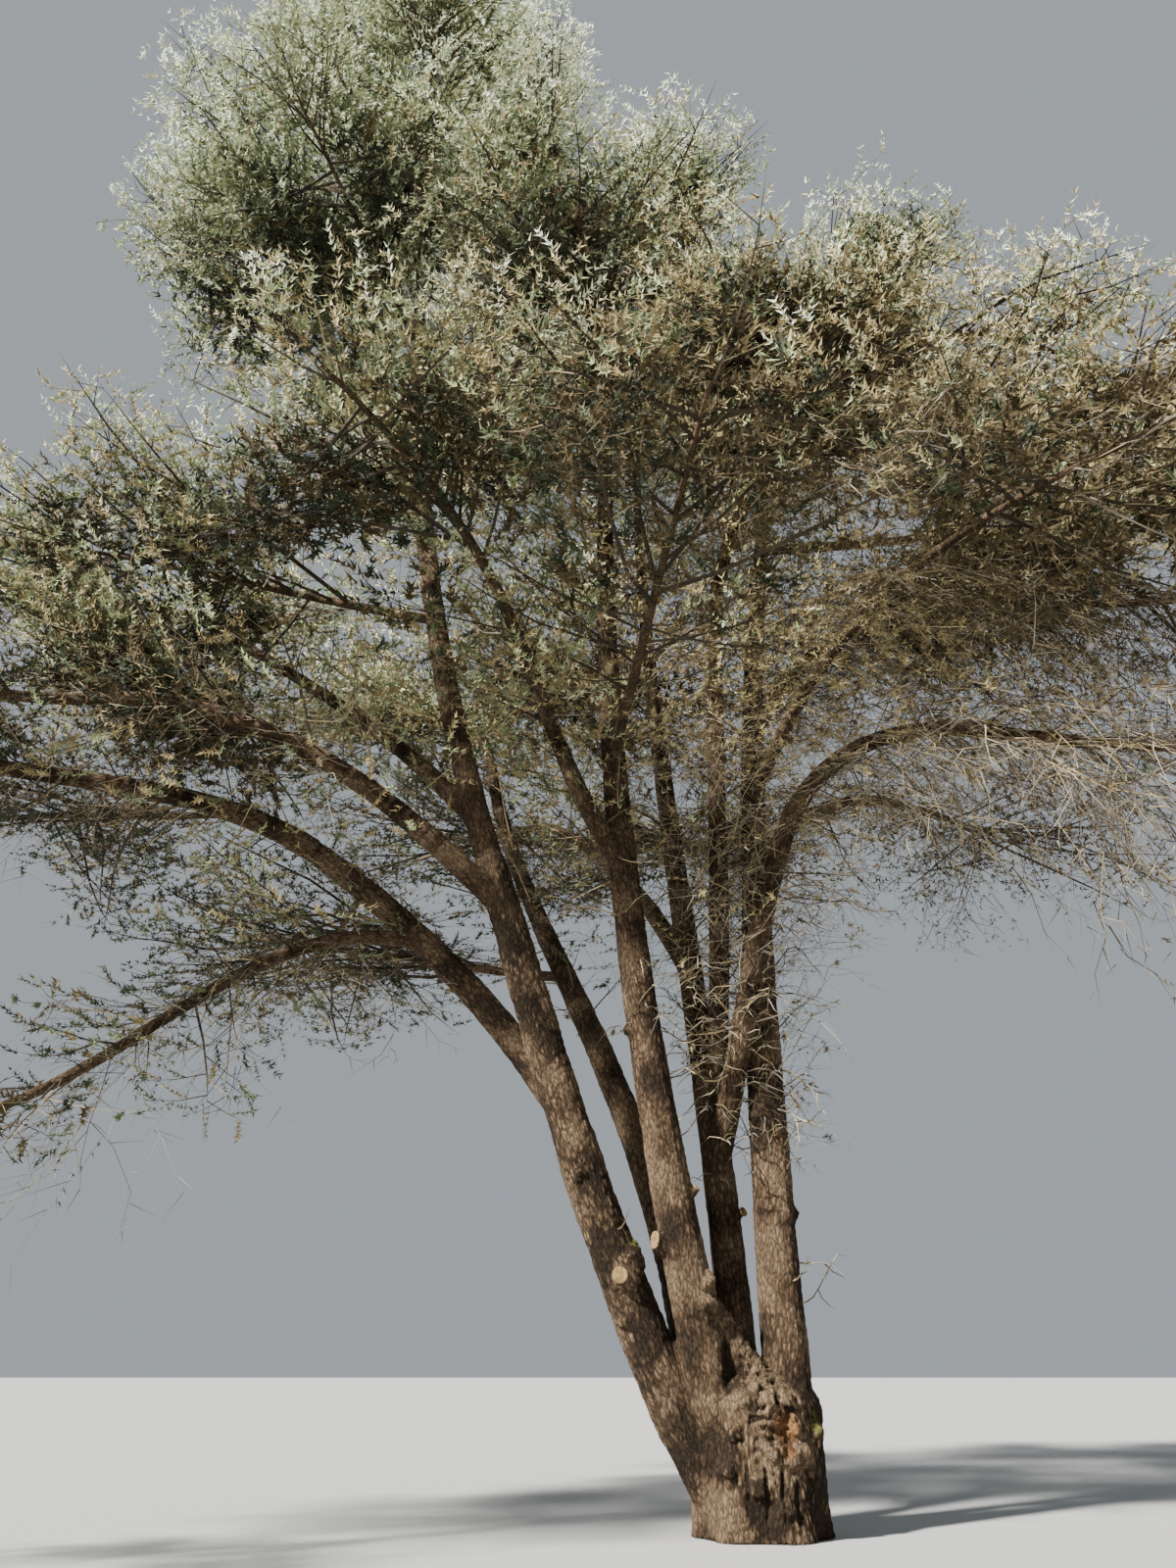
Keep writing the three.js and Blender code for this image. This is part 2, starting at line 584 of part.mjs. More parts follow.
// Each limb and each mass becomes a mesh of its own.
const GREEN = { color: 0x6f7d5c, roughness: 0.85, metalness: 0 };
function addMesh(name, shape, look) {
  const mesh = new THREE.Mesh(geometryOf(shape), new THREE.MeshStandardMaterial(look));
  mesh.name = name;
  group.add(mesh);
}
for (const [name, wood] of woods) addMesh(name, wood, BARK);
for (const space of spaces) {
  // Corners that fall together can pinch off a hollow, so it is looked for again once they are merged.
  const merged = solid(geometryOf(mainBody(space.solid)));
  addMesh(space.mass.name, mainBody(merged), GREEN);
}

export default group;
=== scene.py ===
# %% [markdown]
# # A mature atlas cedar with many stems
# The real tree is one fused butt from which a bundle of stems rises, long boughs that arch away from them,
# and layered plates of short needles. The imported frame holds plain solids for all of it, in metres, with
# the middle of the butt's flat cut at the origin. Here the limbs get bark with real relief, and every mass
# of foliage is grown again, by the same rule as its solid, down to its needles.

# %% Load the frame
import math

import bmesh
import bpy
import numpy as np
from mathutils import Matrix, Vector, noise


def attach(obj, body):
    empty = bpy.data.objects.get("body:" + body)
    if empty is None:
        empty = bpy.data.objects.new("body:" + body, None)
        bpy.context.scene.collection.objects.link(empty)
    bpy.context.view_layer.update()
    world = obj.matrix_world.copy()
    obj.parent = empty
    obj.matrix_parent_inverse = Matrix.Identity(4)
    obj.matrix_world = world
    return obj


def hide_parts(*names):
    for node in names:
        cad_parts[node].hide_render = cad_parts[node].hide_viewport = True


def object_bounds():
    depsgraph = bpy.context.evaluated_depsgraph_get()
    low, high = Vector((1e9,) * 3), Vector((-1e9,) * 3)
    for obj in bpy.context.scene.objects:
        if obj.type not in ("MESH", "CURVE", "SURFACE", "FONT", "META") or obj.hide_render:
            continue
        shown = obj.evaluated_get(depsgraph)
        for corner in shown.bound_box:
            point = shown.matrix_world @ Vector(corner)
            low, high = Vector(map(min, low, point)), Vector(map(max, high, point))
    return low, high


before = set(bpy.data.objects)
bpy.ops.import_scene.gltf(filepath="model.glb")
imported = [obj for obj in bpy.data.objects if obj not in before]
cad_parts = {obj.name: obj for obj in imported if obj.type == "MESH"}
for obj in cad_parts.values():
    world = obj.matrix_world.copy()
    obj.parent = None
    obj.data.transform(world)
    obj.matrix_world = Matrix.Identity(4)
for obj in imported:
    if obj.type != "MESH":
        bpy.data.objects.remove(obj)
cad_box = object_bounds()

print("solids reach from", tuple(cad_box[0]), "to", tuple(cad_box[1]))

# %% [markdown]
# The camera stands at eye height, some 15 m in front of the tree and a little to its left, and looks up at
# it. A tall picture of a tall tree needs a wide lens. The camera comes first, so that each later step can
# be looked at as it is made.

# %% The camera
EYE = (-1.9, -15.0, 1.6)
LOOKS_UP = math.degrees(math.atan(0.5))

camera_data = bpy.data.cameras.new("camera")
camera_data.lens = 27
camera_data.sensor_width = 36
camera = bpy.data.objects.new("camera", camera_data)
camera.location = EYE
camera.rotation_euler = (math.radians(90 + LOOKS_UP), 0, 0)
bpy.context.scene.collection.objects.link(camera)
bpy.context.scene.camera = camera
print("camera looks up by", round(LOOKS_UP, 1), "degrees")

# %% [markdown]
# A tree could be modelled limb by limb by hand, but a rule keeps every limb smooth and lets the twigs grow
# on from the right places. Each limb has a line: it sets off in one direction, and its heading and its rise
# change evenly along its length. Numpy works out many points at a time.

# %% The rule for one limb
UP = np.array((0.0, 0.0, 1.0))
GOLDEN = 137.508  # degrees between one twig and the next round its stem
GOLDEN_SHARE = 0.6180339887  # the same step as a share of a turn, taken the other way


def mix(a, b, s):
    return a + (b - a) * s


def share(n, kind=0.0):
    """An even, repeatable share from 0 to 1 for the n-th thing of its kind."""
    return (n * GOLDEN_SHARE + kind * 0.7548776662 + 0.5) % 1


def chance(n, kind=0.0):
    """A repeatable share from 0 to 1 with no order in it, for what follows no rule."""
    return np.sin(n * 12.9898 + kind * 78.233) * 43758.5453 % 1


def unit(rows):
    return rows / np.linalg.norm(rows, axis=-1, keepdims=True)


def directions(heading, rise):
    """Unit vectors for headings from +X towards +Y and for rises above level, both in degrees."""
    turn, climb = np.radians(heading), np.radians(rise)
    level = np.cos(climb)
    return np.stack((level * np.cos(turn), level * np.sin(turn), np.sin(climb) + 0 * turn), axis=-1)


def through(values, s):
    """A value that runs through start, middle and end along a limb."""
    start, middle, end = values
    return start + (4 * middle - 3 * start - end) * s + 2 * (start - 2 * middle + end) * s * s


class LimbLine:
    """The middle line of a limb with its radius, and two directions across it that don't twist."""

    STATIONS = np.linspace(0, 1, 81)

    def __init__(self, start, length, heading, rise, radius):
        s = self.STATIONS
        self.length, self.radius = length, radius
        self.ways = directions(mix(*heading, s), through(rise, s))
        steps = (self.ways[1:] + self.ways[:-1]) * length / (len(s) - 1) / 2
        self.points = np.asarray(start) + np.vstack((np.zeros(3), np.cumsum(steps, axis=0)))
        across = [np.cross((0.31, -0.95, 0.05), self.ways[0])]
        for way in self.ways:
            across.append(unit(across[-1] - way * (across[-1] @ way)))
        self.across = np.array(across[1:])
        self.third = np.cross(self.ways, self.across)

    def sample(self, rows, s):
        return np.stack([np.interp(s, self.STATIONS, rows[:, k]) for k in range(3)], axis=-1)

    def point(self, s):
        return self.sample(self.points, s)

    def way(self, s):
        return unit(self.sample(self.ways, s))

    def thick(self, s):
        return mix(*self.radius, s)


def going_on(parent, heading, rise):
    """The heading and rise of a limb that sets off the way its parent's tip points."""
    tip = parent.ways[-1]
    tip_heading = math.degrees(math.atan2(tip[1], tip[0]))
    turn = (heading[1] - tip_heading + 540) % 360 - 180
    return (heading[1] - turn, heading[1]), (math.degrees(math.asin(tip[2])), rise[1], rise[2])


trial_line = LimbLine((0, 0, 0), 1.0, (0, 90), (0, 30, 60), (0.1, 0.05))
print("a trial limb of 1 m that turns and climbs ends at", trial_line.point(1.0).round(2))

# %% [markdown]
# The limbs are the same as the solids': five stems out of the butt, and sixteen boughs and higher stems
# that part from them. A stem is given by its foot, a bough by its parent and the share of the parent's
# length where it leaves. Then come length, heading at start and end, rise at start, middle and end, and
# radius at start and end.

# %% The limbs
STEMS = {
    "stem_left": ((-0.86, -0.10, 1.11), 7.0, (190, 193), (64, 71, 72), (0.29, 0.215)),
    "stem_middle": ((-0.50, -0.25, 1.21), 19.5, (208, 21), (78, 86, 85), (0.27, 0.05)),
    "stem_back_left": ((-0.64, 0.30, 1.30), 11.0, (138, 127), (85, 59, 74), (0.24, 0.105)),
    "stem_centre": ((-0.12, 0.33, 1.30), 15.5, (165, 101), (88, 83, 89), (0.23, 0.055)),
    "stem_right": ((0.36, -0.08, 1.20), 18.9, (98, -4), (86, 83, 73), (0.28, 0.05)),
}
BOUGHS = {
    "leader": ("stem_left", 1, 17.6, (176, 128), (72, 86, 88), (0.185, 0.05)),
    "bough_left_arch": ("stem_left", 0.9, 5.9, (207, 199), (38, 24, -14), (0.165, 0.08)),
    "bough_left_rising": ("leader", 0.03, 7.0, (148, 162), (50, 40, 38), (0.14, 0.07)),
    "bough_left_long": ("stem_left", 0.51, 4.9, (142, 216), (52, 46, 25), (0.205, 0.165)),
    "bough_left_long_outer": ("bough_left_long", 1, 4.3, (211, 205), (-14, 0, -1), (0.16, 0.095)),
    "bough_left_drooping": ("bough_left_long", 0.62, 5.2, (215, 222), (8, -36, -36), (0.105, 0.055)),
    "bough_front_left": ("stem_middle", 0.34, 3.6, (213, 243), (42, 56, 39), (0.14, 0.085)),
    "stem_centre_right": ("stem_centre", 0.2, 7.4, (304, 294), (78, 87, 83), (0.15, 0.115)),
    "bough_right_shoulder": ("stem_centre_right", 1, 5.2, (342, 353), (80, 42, 38), (0.112, 0.065)),
    "stem_leaning_right": ("stem_centre", 0.17, 4.3, (298, 306), (62, 69, 58), (0.165, 0.13)),
    "bough_right_low": ("stem_leaning_right", 1, 4.6, (325, 321), (20, -14, -24), (0.126, 0.065)),
    "bough_right_middle": ("stem_right", 0.475, 5.4, (315, 326), (60, 0, -30), (0.12, 0.06)),
    "bough_right_high": ("bough_right_shoulder", 0.62, 3.6, (318, 323), (-18, -24, -30), (0.08, 0.05)),
    "bough_back_low_left": ("stem_centre", 0.33, 5.2, (150, 112), (66, 44, 22), (0.135, 0.065)),
    "bough_front_right": ("stem_right", 0.42, 4.4, (292, 300), (40, 22, 0), (0.11, 0.06)),
    "bough_back_right": ("stem_right", 0.36, 6.2, (52, 44), (46, 28, 8), (0.14, 0.065)),
}

lines = {name: LimbLine(*row) for name, row in STEMS.items()}
for name, (parent, at, length, heading, rise, radius) in BOUGHS.items():
    if at == 1:
        heading, rise = going_on(lines[parent], heading, rise)
    lines[name] = LimbLine(lines[parent].point(at), length, heading, rise, radius)
print(len(lines), "limbs,", round(sum(line.length for line in lines.values())), "m of wood in all")

# %% [markdown]
# A limb could be a curve with a bevel, but a mesh that is pulled out ring by ring keeps each ring where
# the line says and can be fused with others. A disc is laid across the line, and its face is extruded and
# moved on from one station to the next.

# %% Pull a limb out ring by ring


def ring_place(line, s):
    """The matrix that lays a unit circle round a limb's line."""
    r = float(line.thick(s))
    across, third = unit(line.sample(line.across, s)), unit(line.sample(line.third, s))
    columns = np.column_stack((across * r, third * r, line.way(s) * r, line.point(s)))
    return Matrix(np.vstack((columns, (0, 0, 0, 1))).tolist())


def disc_face(bm, sides, radius=1.0, matrix=Matrix()):
    """A new disc's one face."""
    disc = bmesh.ops.create_circle(bm, cap_ends=True, segments=sides, radius=radius, matrix=matrix)
    return disc["verts"][0].link_faces[0]


def pulled_out(bm, face):
    """The new face that stands where a face was, ready to be moved on."""
    out = bmesh.ops.extrude_face_region(bm, geom=[face])
    return next(item for item in out["geom"] if isinstance(item, bmesh.types.BMFace))


def as_mesh(bm, name, outward=True):
    """A bmesh that is done, as a mesh. Outward turns all its faces out."""
    if outward:
        bmesh.ops.recalc_face_normals(bm, faces=bm.faces)
    mesh = bpy.data.meshes.new(name)
    bm.to_mesh(mesh)
    bm.free()
    return mesh


def rod(line, first, last, sides, step):
    """A closed, tapering rod along part of a limb's line."""
    bm = bmesh.new()
    shares = np.linspace(first, last, max(2, round((last - first) * line.length / step)) + 1)
    place = ring_place(line, shares[0])
    face = disc_face(bm, sides, matrix=place)
    for s in shares[1:]:
        face = pulled_out(bm, face)
        following = ring_place(line, s)
        bmesh.ops.transform(bm, matrix=following @ place.inverted(), verts=face.verts)
        place = following
    return as_mesh(bm, "rod")


foot_radius = ring_place(lines["stem_left"], 0).to_scale().x
print("the left stem starts as a ring of", round(foot_radius, 3), "m radius")

# %% [markdown]
# The butt is wider than deep, leans a little to the left and swells into roots at the ground. It starts
# as a plain round block of stacked rings, and each corner is then moved onto the butt's skin by the same
# formula as the solid's. Above, it closes in a low dome between the stems.

# %% The butt
BUTT_HEIGHT = 1.65
FOOT_HALF = (0.69, 0.61)  # half width and half depth at the ground
HEAD_HALF = (0.86, 0.60)
LEAN = -0.12  # how far its middle moves along X on the way up
LEAN_POWER = 1.4  # above 1, so it leans more the higher it is
ROOT_REACH = 0.095
ROOT_SWELLS = 6
ROOT_POWER = 6  # how fast the roots run out upwards
DOME_FROM = 0.72  # of the height
DOME_CLOSES = 1.02  # just above the top, so the dome keeps a small flat
BUTT_SIDES = 96
BUTT_RINGS = 40


def butt_skin(around, up, out=1.0):
    """A point of the butt at an angle round it and a share of its height; out is 1 on the skin."""
    over = max(0.0, up - DOME_FROM) / (DOME_CLOSES - DOME_FROM)
    dome = math.sqrt(1 - over * over)
    swell = ROOT_REACH * (0.5 + 0.5 * math.cos(ROOT_SWELLS * around + 0.6)) * (1 - up) ** ROOT_POWER
    wide = (mix(FOOT_HALF[0], HEAD_HALF[0], up) + swell) * dome * out
    deep = (mix(FOOT_HALF[1], HEAD_HALF[1], up) + swell) * dome * out
    middle = LEAN * up**LEAN_POWER
    return Vector((middle + math.cos(around) * wide, math.sin(around) * deep, up * BUTT_HEIGHT))


def butt_block():
    bm = bmesh.new()
    face = disc_face(bm, BUTT_SIDES)
    for _ in range(BUTT_RINGS):
        face = pulled_out(bm, face)
        bmesh.ops.translate(bm, vec=(0, 0, 1 / BUTT_RINGS), verts=face.verts)
    for corner in bm.verts:
        corner.co = butt_skin(math.atan2(corner.co.y, corner.co.x), corner.co.z)
    return as_mesh(bm, "butt")


foot_width = butt_skin(0, 0).x - butt_skin(math.pi, 0).x
print("the butt is", round(foot_width, 2), "m wide at the ground")

# %% [markdown]
# Old cedars carry the marks of their life: burls round a healed wound, and short pegs where dead boughs
# were sawn off. Where stems lean, wood has grown in: a heel carries the left stem down to the root, and a
# jagged ridge fills the fork of the middle one. The burls are rough balls that are sunk into the skin,
# and the rest are short rods. All of them are fused into the bark next.

# %% Burls, heel, ridge and sawn pegs
# Each burl: angle round the butt in degrees, share of the height, radius and how far out its middle lies.
BURLS = [
    (296, 0.80, 0.09, 0.95), (281, 0.80, 0.10, 0.94), (276, 0.66, 0.09, 0.96), (300, 0.64, 0.10, 0.94),
    (281, 0.50, 0.10, 0.96), (295, 0.47, 0.11, 0.95), (272, 0.86, 0.09, 0.95), (306, 0.50, 0.10, 0.95),
    (262, 0.80, 0.11, 0.94), (250, 0.62, 0.10, 0.95), (262, 0.30, 0.13, 0.92), (240, 0.40, 0.12, 0.93),
    (318, 0.34, 0.13, 0.90), (286, 0.18, 0.12, 0.93), (330, 0.60, 0.16, 0.88), (200, 0.34, 0.12, 0.90),
]
# Lumps on the stems: the stem, the share of its length, heading, radius and how far out its middle lies.
LUMPS = [
    ("stem_right", 0.113, 350, 0.16, 0.52), ("stem_right", 0.117, 40, 0.15, 0.55),
    ("stem_right", 0.112, 300, 0.15, 0.55), ("stem_right", 0.116, 245, 0.14, 0.6),
    ("stem_left", 0.222, 280, 0.17, 0.70), ("stem_left", 0.25, 310, 0.19, 0.66),
    ("stem_left", 0.27, 335, 0.16, 0.68), ("stem_left", 0.155, 225, 0.08, 0.92),
    ("stem_middle", 0.088, 200, 0.14, 0.72), ("stem_middle", 0.068, 330, 0.12, 0.86),
    ("stem_middle", 0.055, 300, 0.13, 0.84), ("stem_centre", 0.125, 310, 0.10, 0.70),
    ("stem_left", 0.40, 250, 0.10, 0.84), ("stem_middle", 0.22, 190, 0.09, 0.86),
    ("stem_right", 0.2, 300, 0.09, 0.84),
]
# Wood that has grown in where stems lean: foot, head and radius at both.
WEBS = {
    "heel": ((-0.43, -0.08, 0.30), (-0.86, -0.10, 1.11), (0.275, 0.29)),
    "ridge": ((0.11, -0.20, 1.35), (-0.55, -0.20, 2.26), (0.20, 0.19)),
}
# Each peg: the limb, the share of its length, heading and rise in degrees, radius and how far it
# stands out.
PEGS = {
    "left": ("stem_left", 0.228, 264, 2, 0.09, 0.11),
    "middle": ("stem_middle", 0.09, 205, 5, 0.10, 0.09),
    "middle_high": ("stem_middle", 0.108, 340, 45, 0.055, 0.12),
    "centre": ("stem_centre", 0.125, 314, 20, 0.06, 0.11),
}
PEG_FOOT = 1.25  # how much thicker a peg is at its root


def rough_ball(place, radius, seed):
    """A lump of bark: a ball whose corners are pushed in and out."""
    bm = bmesh.new()
    bmesh.ops.create_icosphere(bm, subdivisions=3, radius=radius)
    for corner in bm.verts:
        corner.co *= 1 + 0.35 * noise.noise(corner.co * 1.6 / radius + Vector((seed, 0, 0)))
    bmesh.ops.translate(bm, vec=place, verts=bm.verts)
    return as_mesh(bm, "lump", outward=False)


def burl_meshes():
    lumps = []
    for seed, (around, up, radius, out) in enumerate(BURLS):
        lumps.append(rough_ball(butt_skin(math.radians(around), up, out), radius, seed))
    for seed, (on, at, heading, radius, out) in enumerate(LUMPS):
        line = lines[on]
        place = line.point(at) + directions(heading, 0) * (out * line.thick(at))
        lumps.append(rough_ball(Vector(place), radius, 20 + seed))
    return lumps


def straight(start, end, radius):
    """The line of a straight limb from one point to another."""
    rises = np.subtract(end, start)
    length = float(np.linalg.norm(rises))
    heading = math.degrees(math.atan2(rises[1], rises[0]))
    rise = math.degrees(math.asin(rises[2] / length))
    return LimbLine(start, length, (heading, heading), (rise, rise, rise), radius)


web_lines = {name: straight(*row) for name, row in WEBS.items()}
peg_lines = {}
for name, (on, at, heading, rise, radius, length) in PEGS.items():
    root = lines[on].point(at)
    tip = root + directions(heading, rise) * (float(lines[on].thick(at)) + length)
    peg_lines[name] = straight(root, tip, (PEG_FOOT * radius, radius))
print(len(BURLS), "burls,", len(LUMPS), "lumps and", len(peg_lines), "sawn pegs")

# %% [markdown]
# Where limbs part, their bark runs together in one skin. A voxel remesh makes that skin: it wraps
# everything that overlaps in even small squares. The squares are small enough to carry the bark's relief
# afterwards. Only the lower part of the tree needs this; higher up the limbs are simple rods that start a
# little inside the fused part.

# %% Fuse the lower limbs
VOXEL = 0.022
FUSED_SIDES = 28
FUSED_STEP = 0.12  # metres between the rings of a limb that is to be fused
# The share of each limb's length that is part of the fused skin.
FUSED_TO = {
    "stem_left": 1.0, "stem_middle": 0.40, "stem_back_left": 0.5, "stem_centre": 0.42, "stem_right": 0.52,
    "leader": 0.1, "bough_left_arch": 0.2, "bough_left_rising": 0.12, "bough_left_long": 1.0,
    "bough_left_long_outer": 0.1, "bough_left_drooping": 0.14, "bough_front_left": 0.2,
    "stem_centre_right": 0.3, "stem_leaning_right": 0.6, "bough_right_middle": 0.14,
    "bough_back_low_left": 0.16, "bough_front_right": 0.18, "bough_back_right": 0.14,
}


def joined(meshes):
    """Several meshes as one, without fusing them."""
    bm = bmesh.new()
    for mesh in meshes:
        bm.from_mesh(mesh)
        bpy.data.meshes.remove(mesh)
    return as_mesh(bm, "joined", outward=False)


def voxel_skin(mesh, voxel):
    """The one even skin round everything in a mesh."""
    shape = bpy.data.objects.new("skin", mesh)
    bpy.context.scene.collection.objects.link(shape)
    remesh = shape.modifiers.new("skin", "REMESH")
    remesh.mode = "VOXEL"
    remesh.voxel_size = voxel
    skin = bpy.data.meshes.new_from_object(shape.evaluated_get(bpy.context.evaluated_depsgraph_get()))
    bpy.data.objects.remove(shape)
    bpy.data.meshes.remove(mesh)
    return skin


low_rods = [rod(lines[name], 0, last, FUSED_SIDES, FUSED_STEP) for name, last in FUSED_TO.items()]
low_rods += [rod(line, 0, 1, FUSED_SIDES, FUSED_STEP) for line in web_lines.values()]
peg_rods = [rod(line, 0.2, 1, sides=20, step=0.03) for line in peg_lines.values()]
low_skin = voxel_skin(joined([butt_block()] + low_rods + peg_rods + burl_meshes()), VOXEL)
print("the fused skin has", len(low_skin.polygons), "squares")

# %% [markdown]
# The bark's relief follows each limb: plates that are longer along the limb than across it, with cracks
# between. So every corner of a mesh first learns which limb it lies on, how far along and how far across.
# The pattern is worked out in those measures, which are kept on the mesh as its grain, and the finish
# reads them later.

# %% Where each corner lies on its limb
ALONG_SHORT = 0.36  # the grain is measured shorter along a limb, so that a round pattern turns out long


def on_limb(points, line):
    """For each point: how far outside the limb's skin it is, and its grain."""
    apart = ((points[:, None, :] - line.points[None, ::2, :]) ** 2).sum(axis=2)
    nearest = line.STATIONS[::2][apart.argmin(axis=1)]
    for _ in range(2):
        offset = points - line.point(nearest)
        nearest = np.clip(nearest + (offset * line.way(nearest)).sum(axis=1) / line.length, 0, 1)
    offset = points - line.point(nearest)
    across = (offset * line.sample(line.across, nearest)).sum(axis=1)
    third = (offset * line.sample(line.third, nearest)).sum(axis=1)
    past_end = (offset * line.way(nearest)).sum(axis=1)
    grain = np.stack((across, third, (nearest * line.length + past_end) * ALONG_SHORT), axis=1)
    return np.linalg.norm(offset, axis=1) - line.thick(nearest), grain


def on_butt(points):
    """The same for the butt, whose skin is oval."""
    up = np.clip(points[:, 2] / BUTT_HEIGHT, 0, 1)
    x = points[:, 0] - LEAN * up**LEAN_POWER
    wide = mix(FOOT_HALF[0], HEAD_HALF[0], up)
    deep = mix(FOOT_HALF[1], HEAD_HALF[1], up)
    outside = (np.hypot(x / wide, points[:, 1] / deep) - 1) * deep
    outside += np.maximum(points[:, 2] - 0.8 * BUTT_HEIGHT, 0)
    return outside, np.stack((x, points[:, 1], points[:, 2] * ALONG_SHORT), axis=1)


beside_stem = lines["stem_left"].point(0.5) + (0.0, 1.0, 0.0)
away = float(on_limb(beside_stem[None], lines["stem_left"])[0][0])
print("1 m behind its middle line one is", round(away, 2), "m outside the left stem")

# %% [markdown]
# Near a fork a corner lies on two limbs at once. So the two nearest limbs are found for every corner, and
# their reliefs can be blended there. Each limb is only set against the corners in a box round it, because
# the whole skin has some hundred thousand of them.

# %% The two nearest limbs


def nearest_limbs(points, names):
    """The two limbs nearest to each point: how far outside each it is, its grain and its radius."""
    best = np.full((2, len(points)), 9.0)
    grains = np.zeros((2, len(points), 3))
    sizes = np.full((2, len(points)), 0.1)
    for k, name in enumerate(["butt"] + list(names)):
        if name == "butt":
            near = np.flatnonzero(points[:, 2] < BUTT_HEIGHT + 0.6)
            outside, grain = on_butt(points[near])
            size = np.full(len(near), 0.5)
        else:
            line = lines[name]
            low, high = line.points.min(axis=0) - 0.7, line.points.max(axis=0) + 0.7
            near = np.flatnonzero(((points > low) & (points < high)).all(axis=1))
            outside, grain = on_limb(points[near], line)
            size = np.full(len(near), float(np.mean(line.radius)))
        grain = grain + (3.1 * k, 1.7 * k, 0)
        for rank in range(2):
            # What is nearer takes this rank, and what it had moves on to the next.
            closer = outside < best[rank][near]
            spot = near[closer]
            held = best[rank][spot].copy(), grains[rank][spot].copy(), sizes[rank][spot].copy()
            best[rank][spot] = outside[closer]
            grains[rank][spot] = grain[closer]
            sizes[rank][spot] = size[closer]
            outside, grain, size = outside.copy(), grain.copy(), size.copy()
            outside[closer], grain[closer], size[closer] = held
    return best, grains, sizes


nearest_to_it = nearest_limbs(beside_stem[None], FUSED_TO)[0]
print("the two limbs nearest to the same point are", nearest_to_it[:, 0].round(2), "m away")

# %% [markdown]
# The relief itself is a Voronoi pattern: cells are the plates, and the narrow strips between two cells are
# the cracks. A slower noise makes the limb a little uneven. Thin limbs have finer bark, so both are
# lower on them.

# %% The bark's pattern
PLATE = 0.058  # width of a plate of bark
CRACK_DEEP = 0.019  # on a thick stem
PLATE_LEVEL = 0.6  # the height in the pattern that stays on the limb's own skin
UNEVEN = 0.026
THICK_STEM = 0.3  # radius from which the relief has its full height


def bark_height(grain, size):
    """How far each corner stands out, for its grain and its limb's radius."""
    heights = np.empty(len(grain))
    for i, (a, b, c) in enumerate(grain.tolist()):
        wander = noise.noise(Vector((a, b, c)) * 6) * 0.35
        near = noise.voronoi(Vector((a / PLATE + wander, b / PLATE, c / PLATE + wander)))[0]
        crack = min(1.0, (near[1] - near[0]) * 2.2)
        heights[i] = crack * (1 - 0.45 * near[0])
    full = np.clip(size / THICK_STEM, 0.25, 1)
    slow = np.array([noise.noise(Vector(row)) for row in (grain * (2.2, 2.2, 5)).tolist()])
    return (heights - PLATE_LEVEL) * (CRACK_DEEP * full) + slow * UNEVEN * full


strip = bark_height(np.linspace((0, 0, 0), (1, 0, 0), 200), np.full(200, THICK_STEM))
print("across 1 m of thick bark the relief spans", round(np.ptp(strip), 3), "m")

# %% [markdown]
# On the ridge and round the old wound the bark is torn. There a folded noise is added, whose valleys are
# sharp. The wound and the deep upright cracks below it are hollows.

# %% Torn bark and hollows
# Torn bark: start and end of each torn strip, its half width and how far it stands out.
TORN = [
    ((-0.42, -0.40, 2.32), (0.08, -0.46, 1.62), 0.12, 0.055),
    ((0.04, -0.52, 1.60), (0.14, -0.60, 1.25), 0.17, 0.05),
    ((-0.10, -0.60, 1.15), (0.00, -0.64, 0.60), 0.20, 0.03),
    ((0.36, -0.56, 1.30), (0.34, -0.62, 0.65), 0.16, 0.03),
]
# Hollows: where each is, its half width, depth and height, and how deep it is.
HOLLOWS = [
    ((0.256, -0.60, 1.07), (0.075, 0.3, 0.16), 0.065), ((0.24, -0.60, 0.83), (0.05, 0.3, 0.06), 0.03),
    ((0.14, -0.58, 1.36), (0.05, 0.3, 0.05), 0.03), ((-0.02, -0.64, 0.45), (0.022, 0.3, 0.30), 0.05),
    ((0.16, -0.64, 0.42), (0.02, 0.3, 0.26), 0.045), ((0.32, -0.62, 0.36), (0.02, 0.3, 0.22), 0.04),
    ((-0.22, -0.62, 0.50), (0.02, 0.3, 0.24), 0.035), ((-0.36, -0.45, 1.66), (0.05, 0.3, 0.25), 0.025),
]


def beside(points, start, end):
    """How far each point is from a straight strip."""
    start, along = np.array(start), np.subtract(end, start)
    s = np.clip((points - start) @ along / (along @ along), 0, 1)
    return np.linalg.norm(points - start - s[:, None] * along, axis=1)


def torn_height(points):
    """How far torn bark and hollows add to each corner."""
    heights = np.zeros(len(points))
    for start, end, half, stands in TORN:
        near = beside(points, start, end)
        for i in np.flatnonzero(near < 2 * half):
            folded = 1 - abs(noise.noise(Vector(points[i]) * 10)) * 2
            fine = abs(noise.noise(Vector(points[i]) * 24))
            heights[i] += stands * math.exp(-((near[i] / half) ** 2)) * (0.9 * folded - 0.3 + 0.8 * fine)
    for place, size, deep in HOLLOWS:
        near = np.linalg.norm((points - place) / size, axis=1)
        heights -= deep * np.exp(-(near**3))
    return heights


deepest = torn_height(np.array([HOLLOWS[0][0]]))[0]
print("the wound's middle lies", round(-float(deepest), 3), "m deep")

# %% [markdown]
# Every corner is pushed out along its normal by the relief's height. Where two limbs meet, their two
# reliefs are blended by how near each limb is, so that no step shows in the fork. Numpy reads and writes
# all corners of a mesh at once.

# %% Push the corners out
FORK_BLEND = 0.05  # metres over which one limb's relief gives way to the other's


def read_rows(values, key, count):
    """Rows of three from a mesh's own values."""
    flat = np.empty(count * 3)
    values.foreach_get(key, flat)
    return flat.reshape(-1, 3)


def corners(mesh):
    return read_rows(mesh.vertices, "co", len(mesh.vertices))


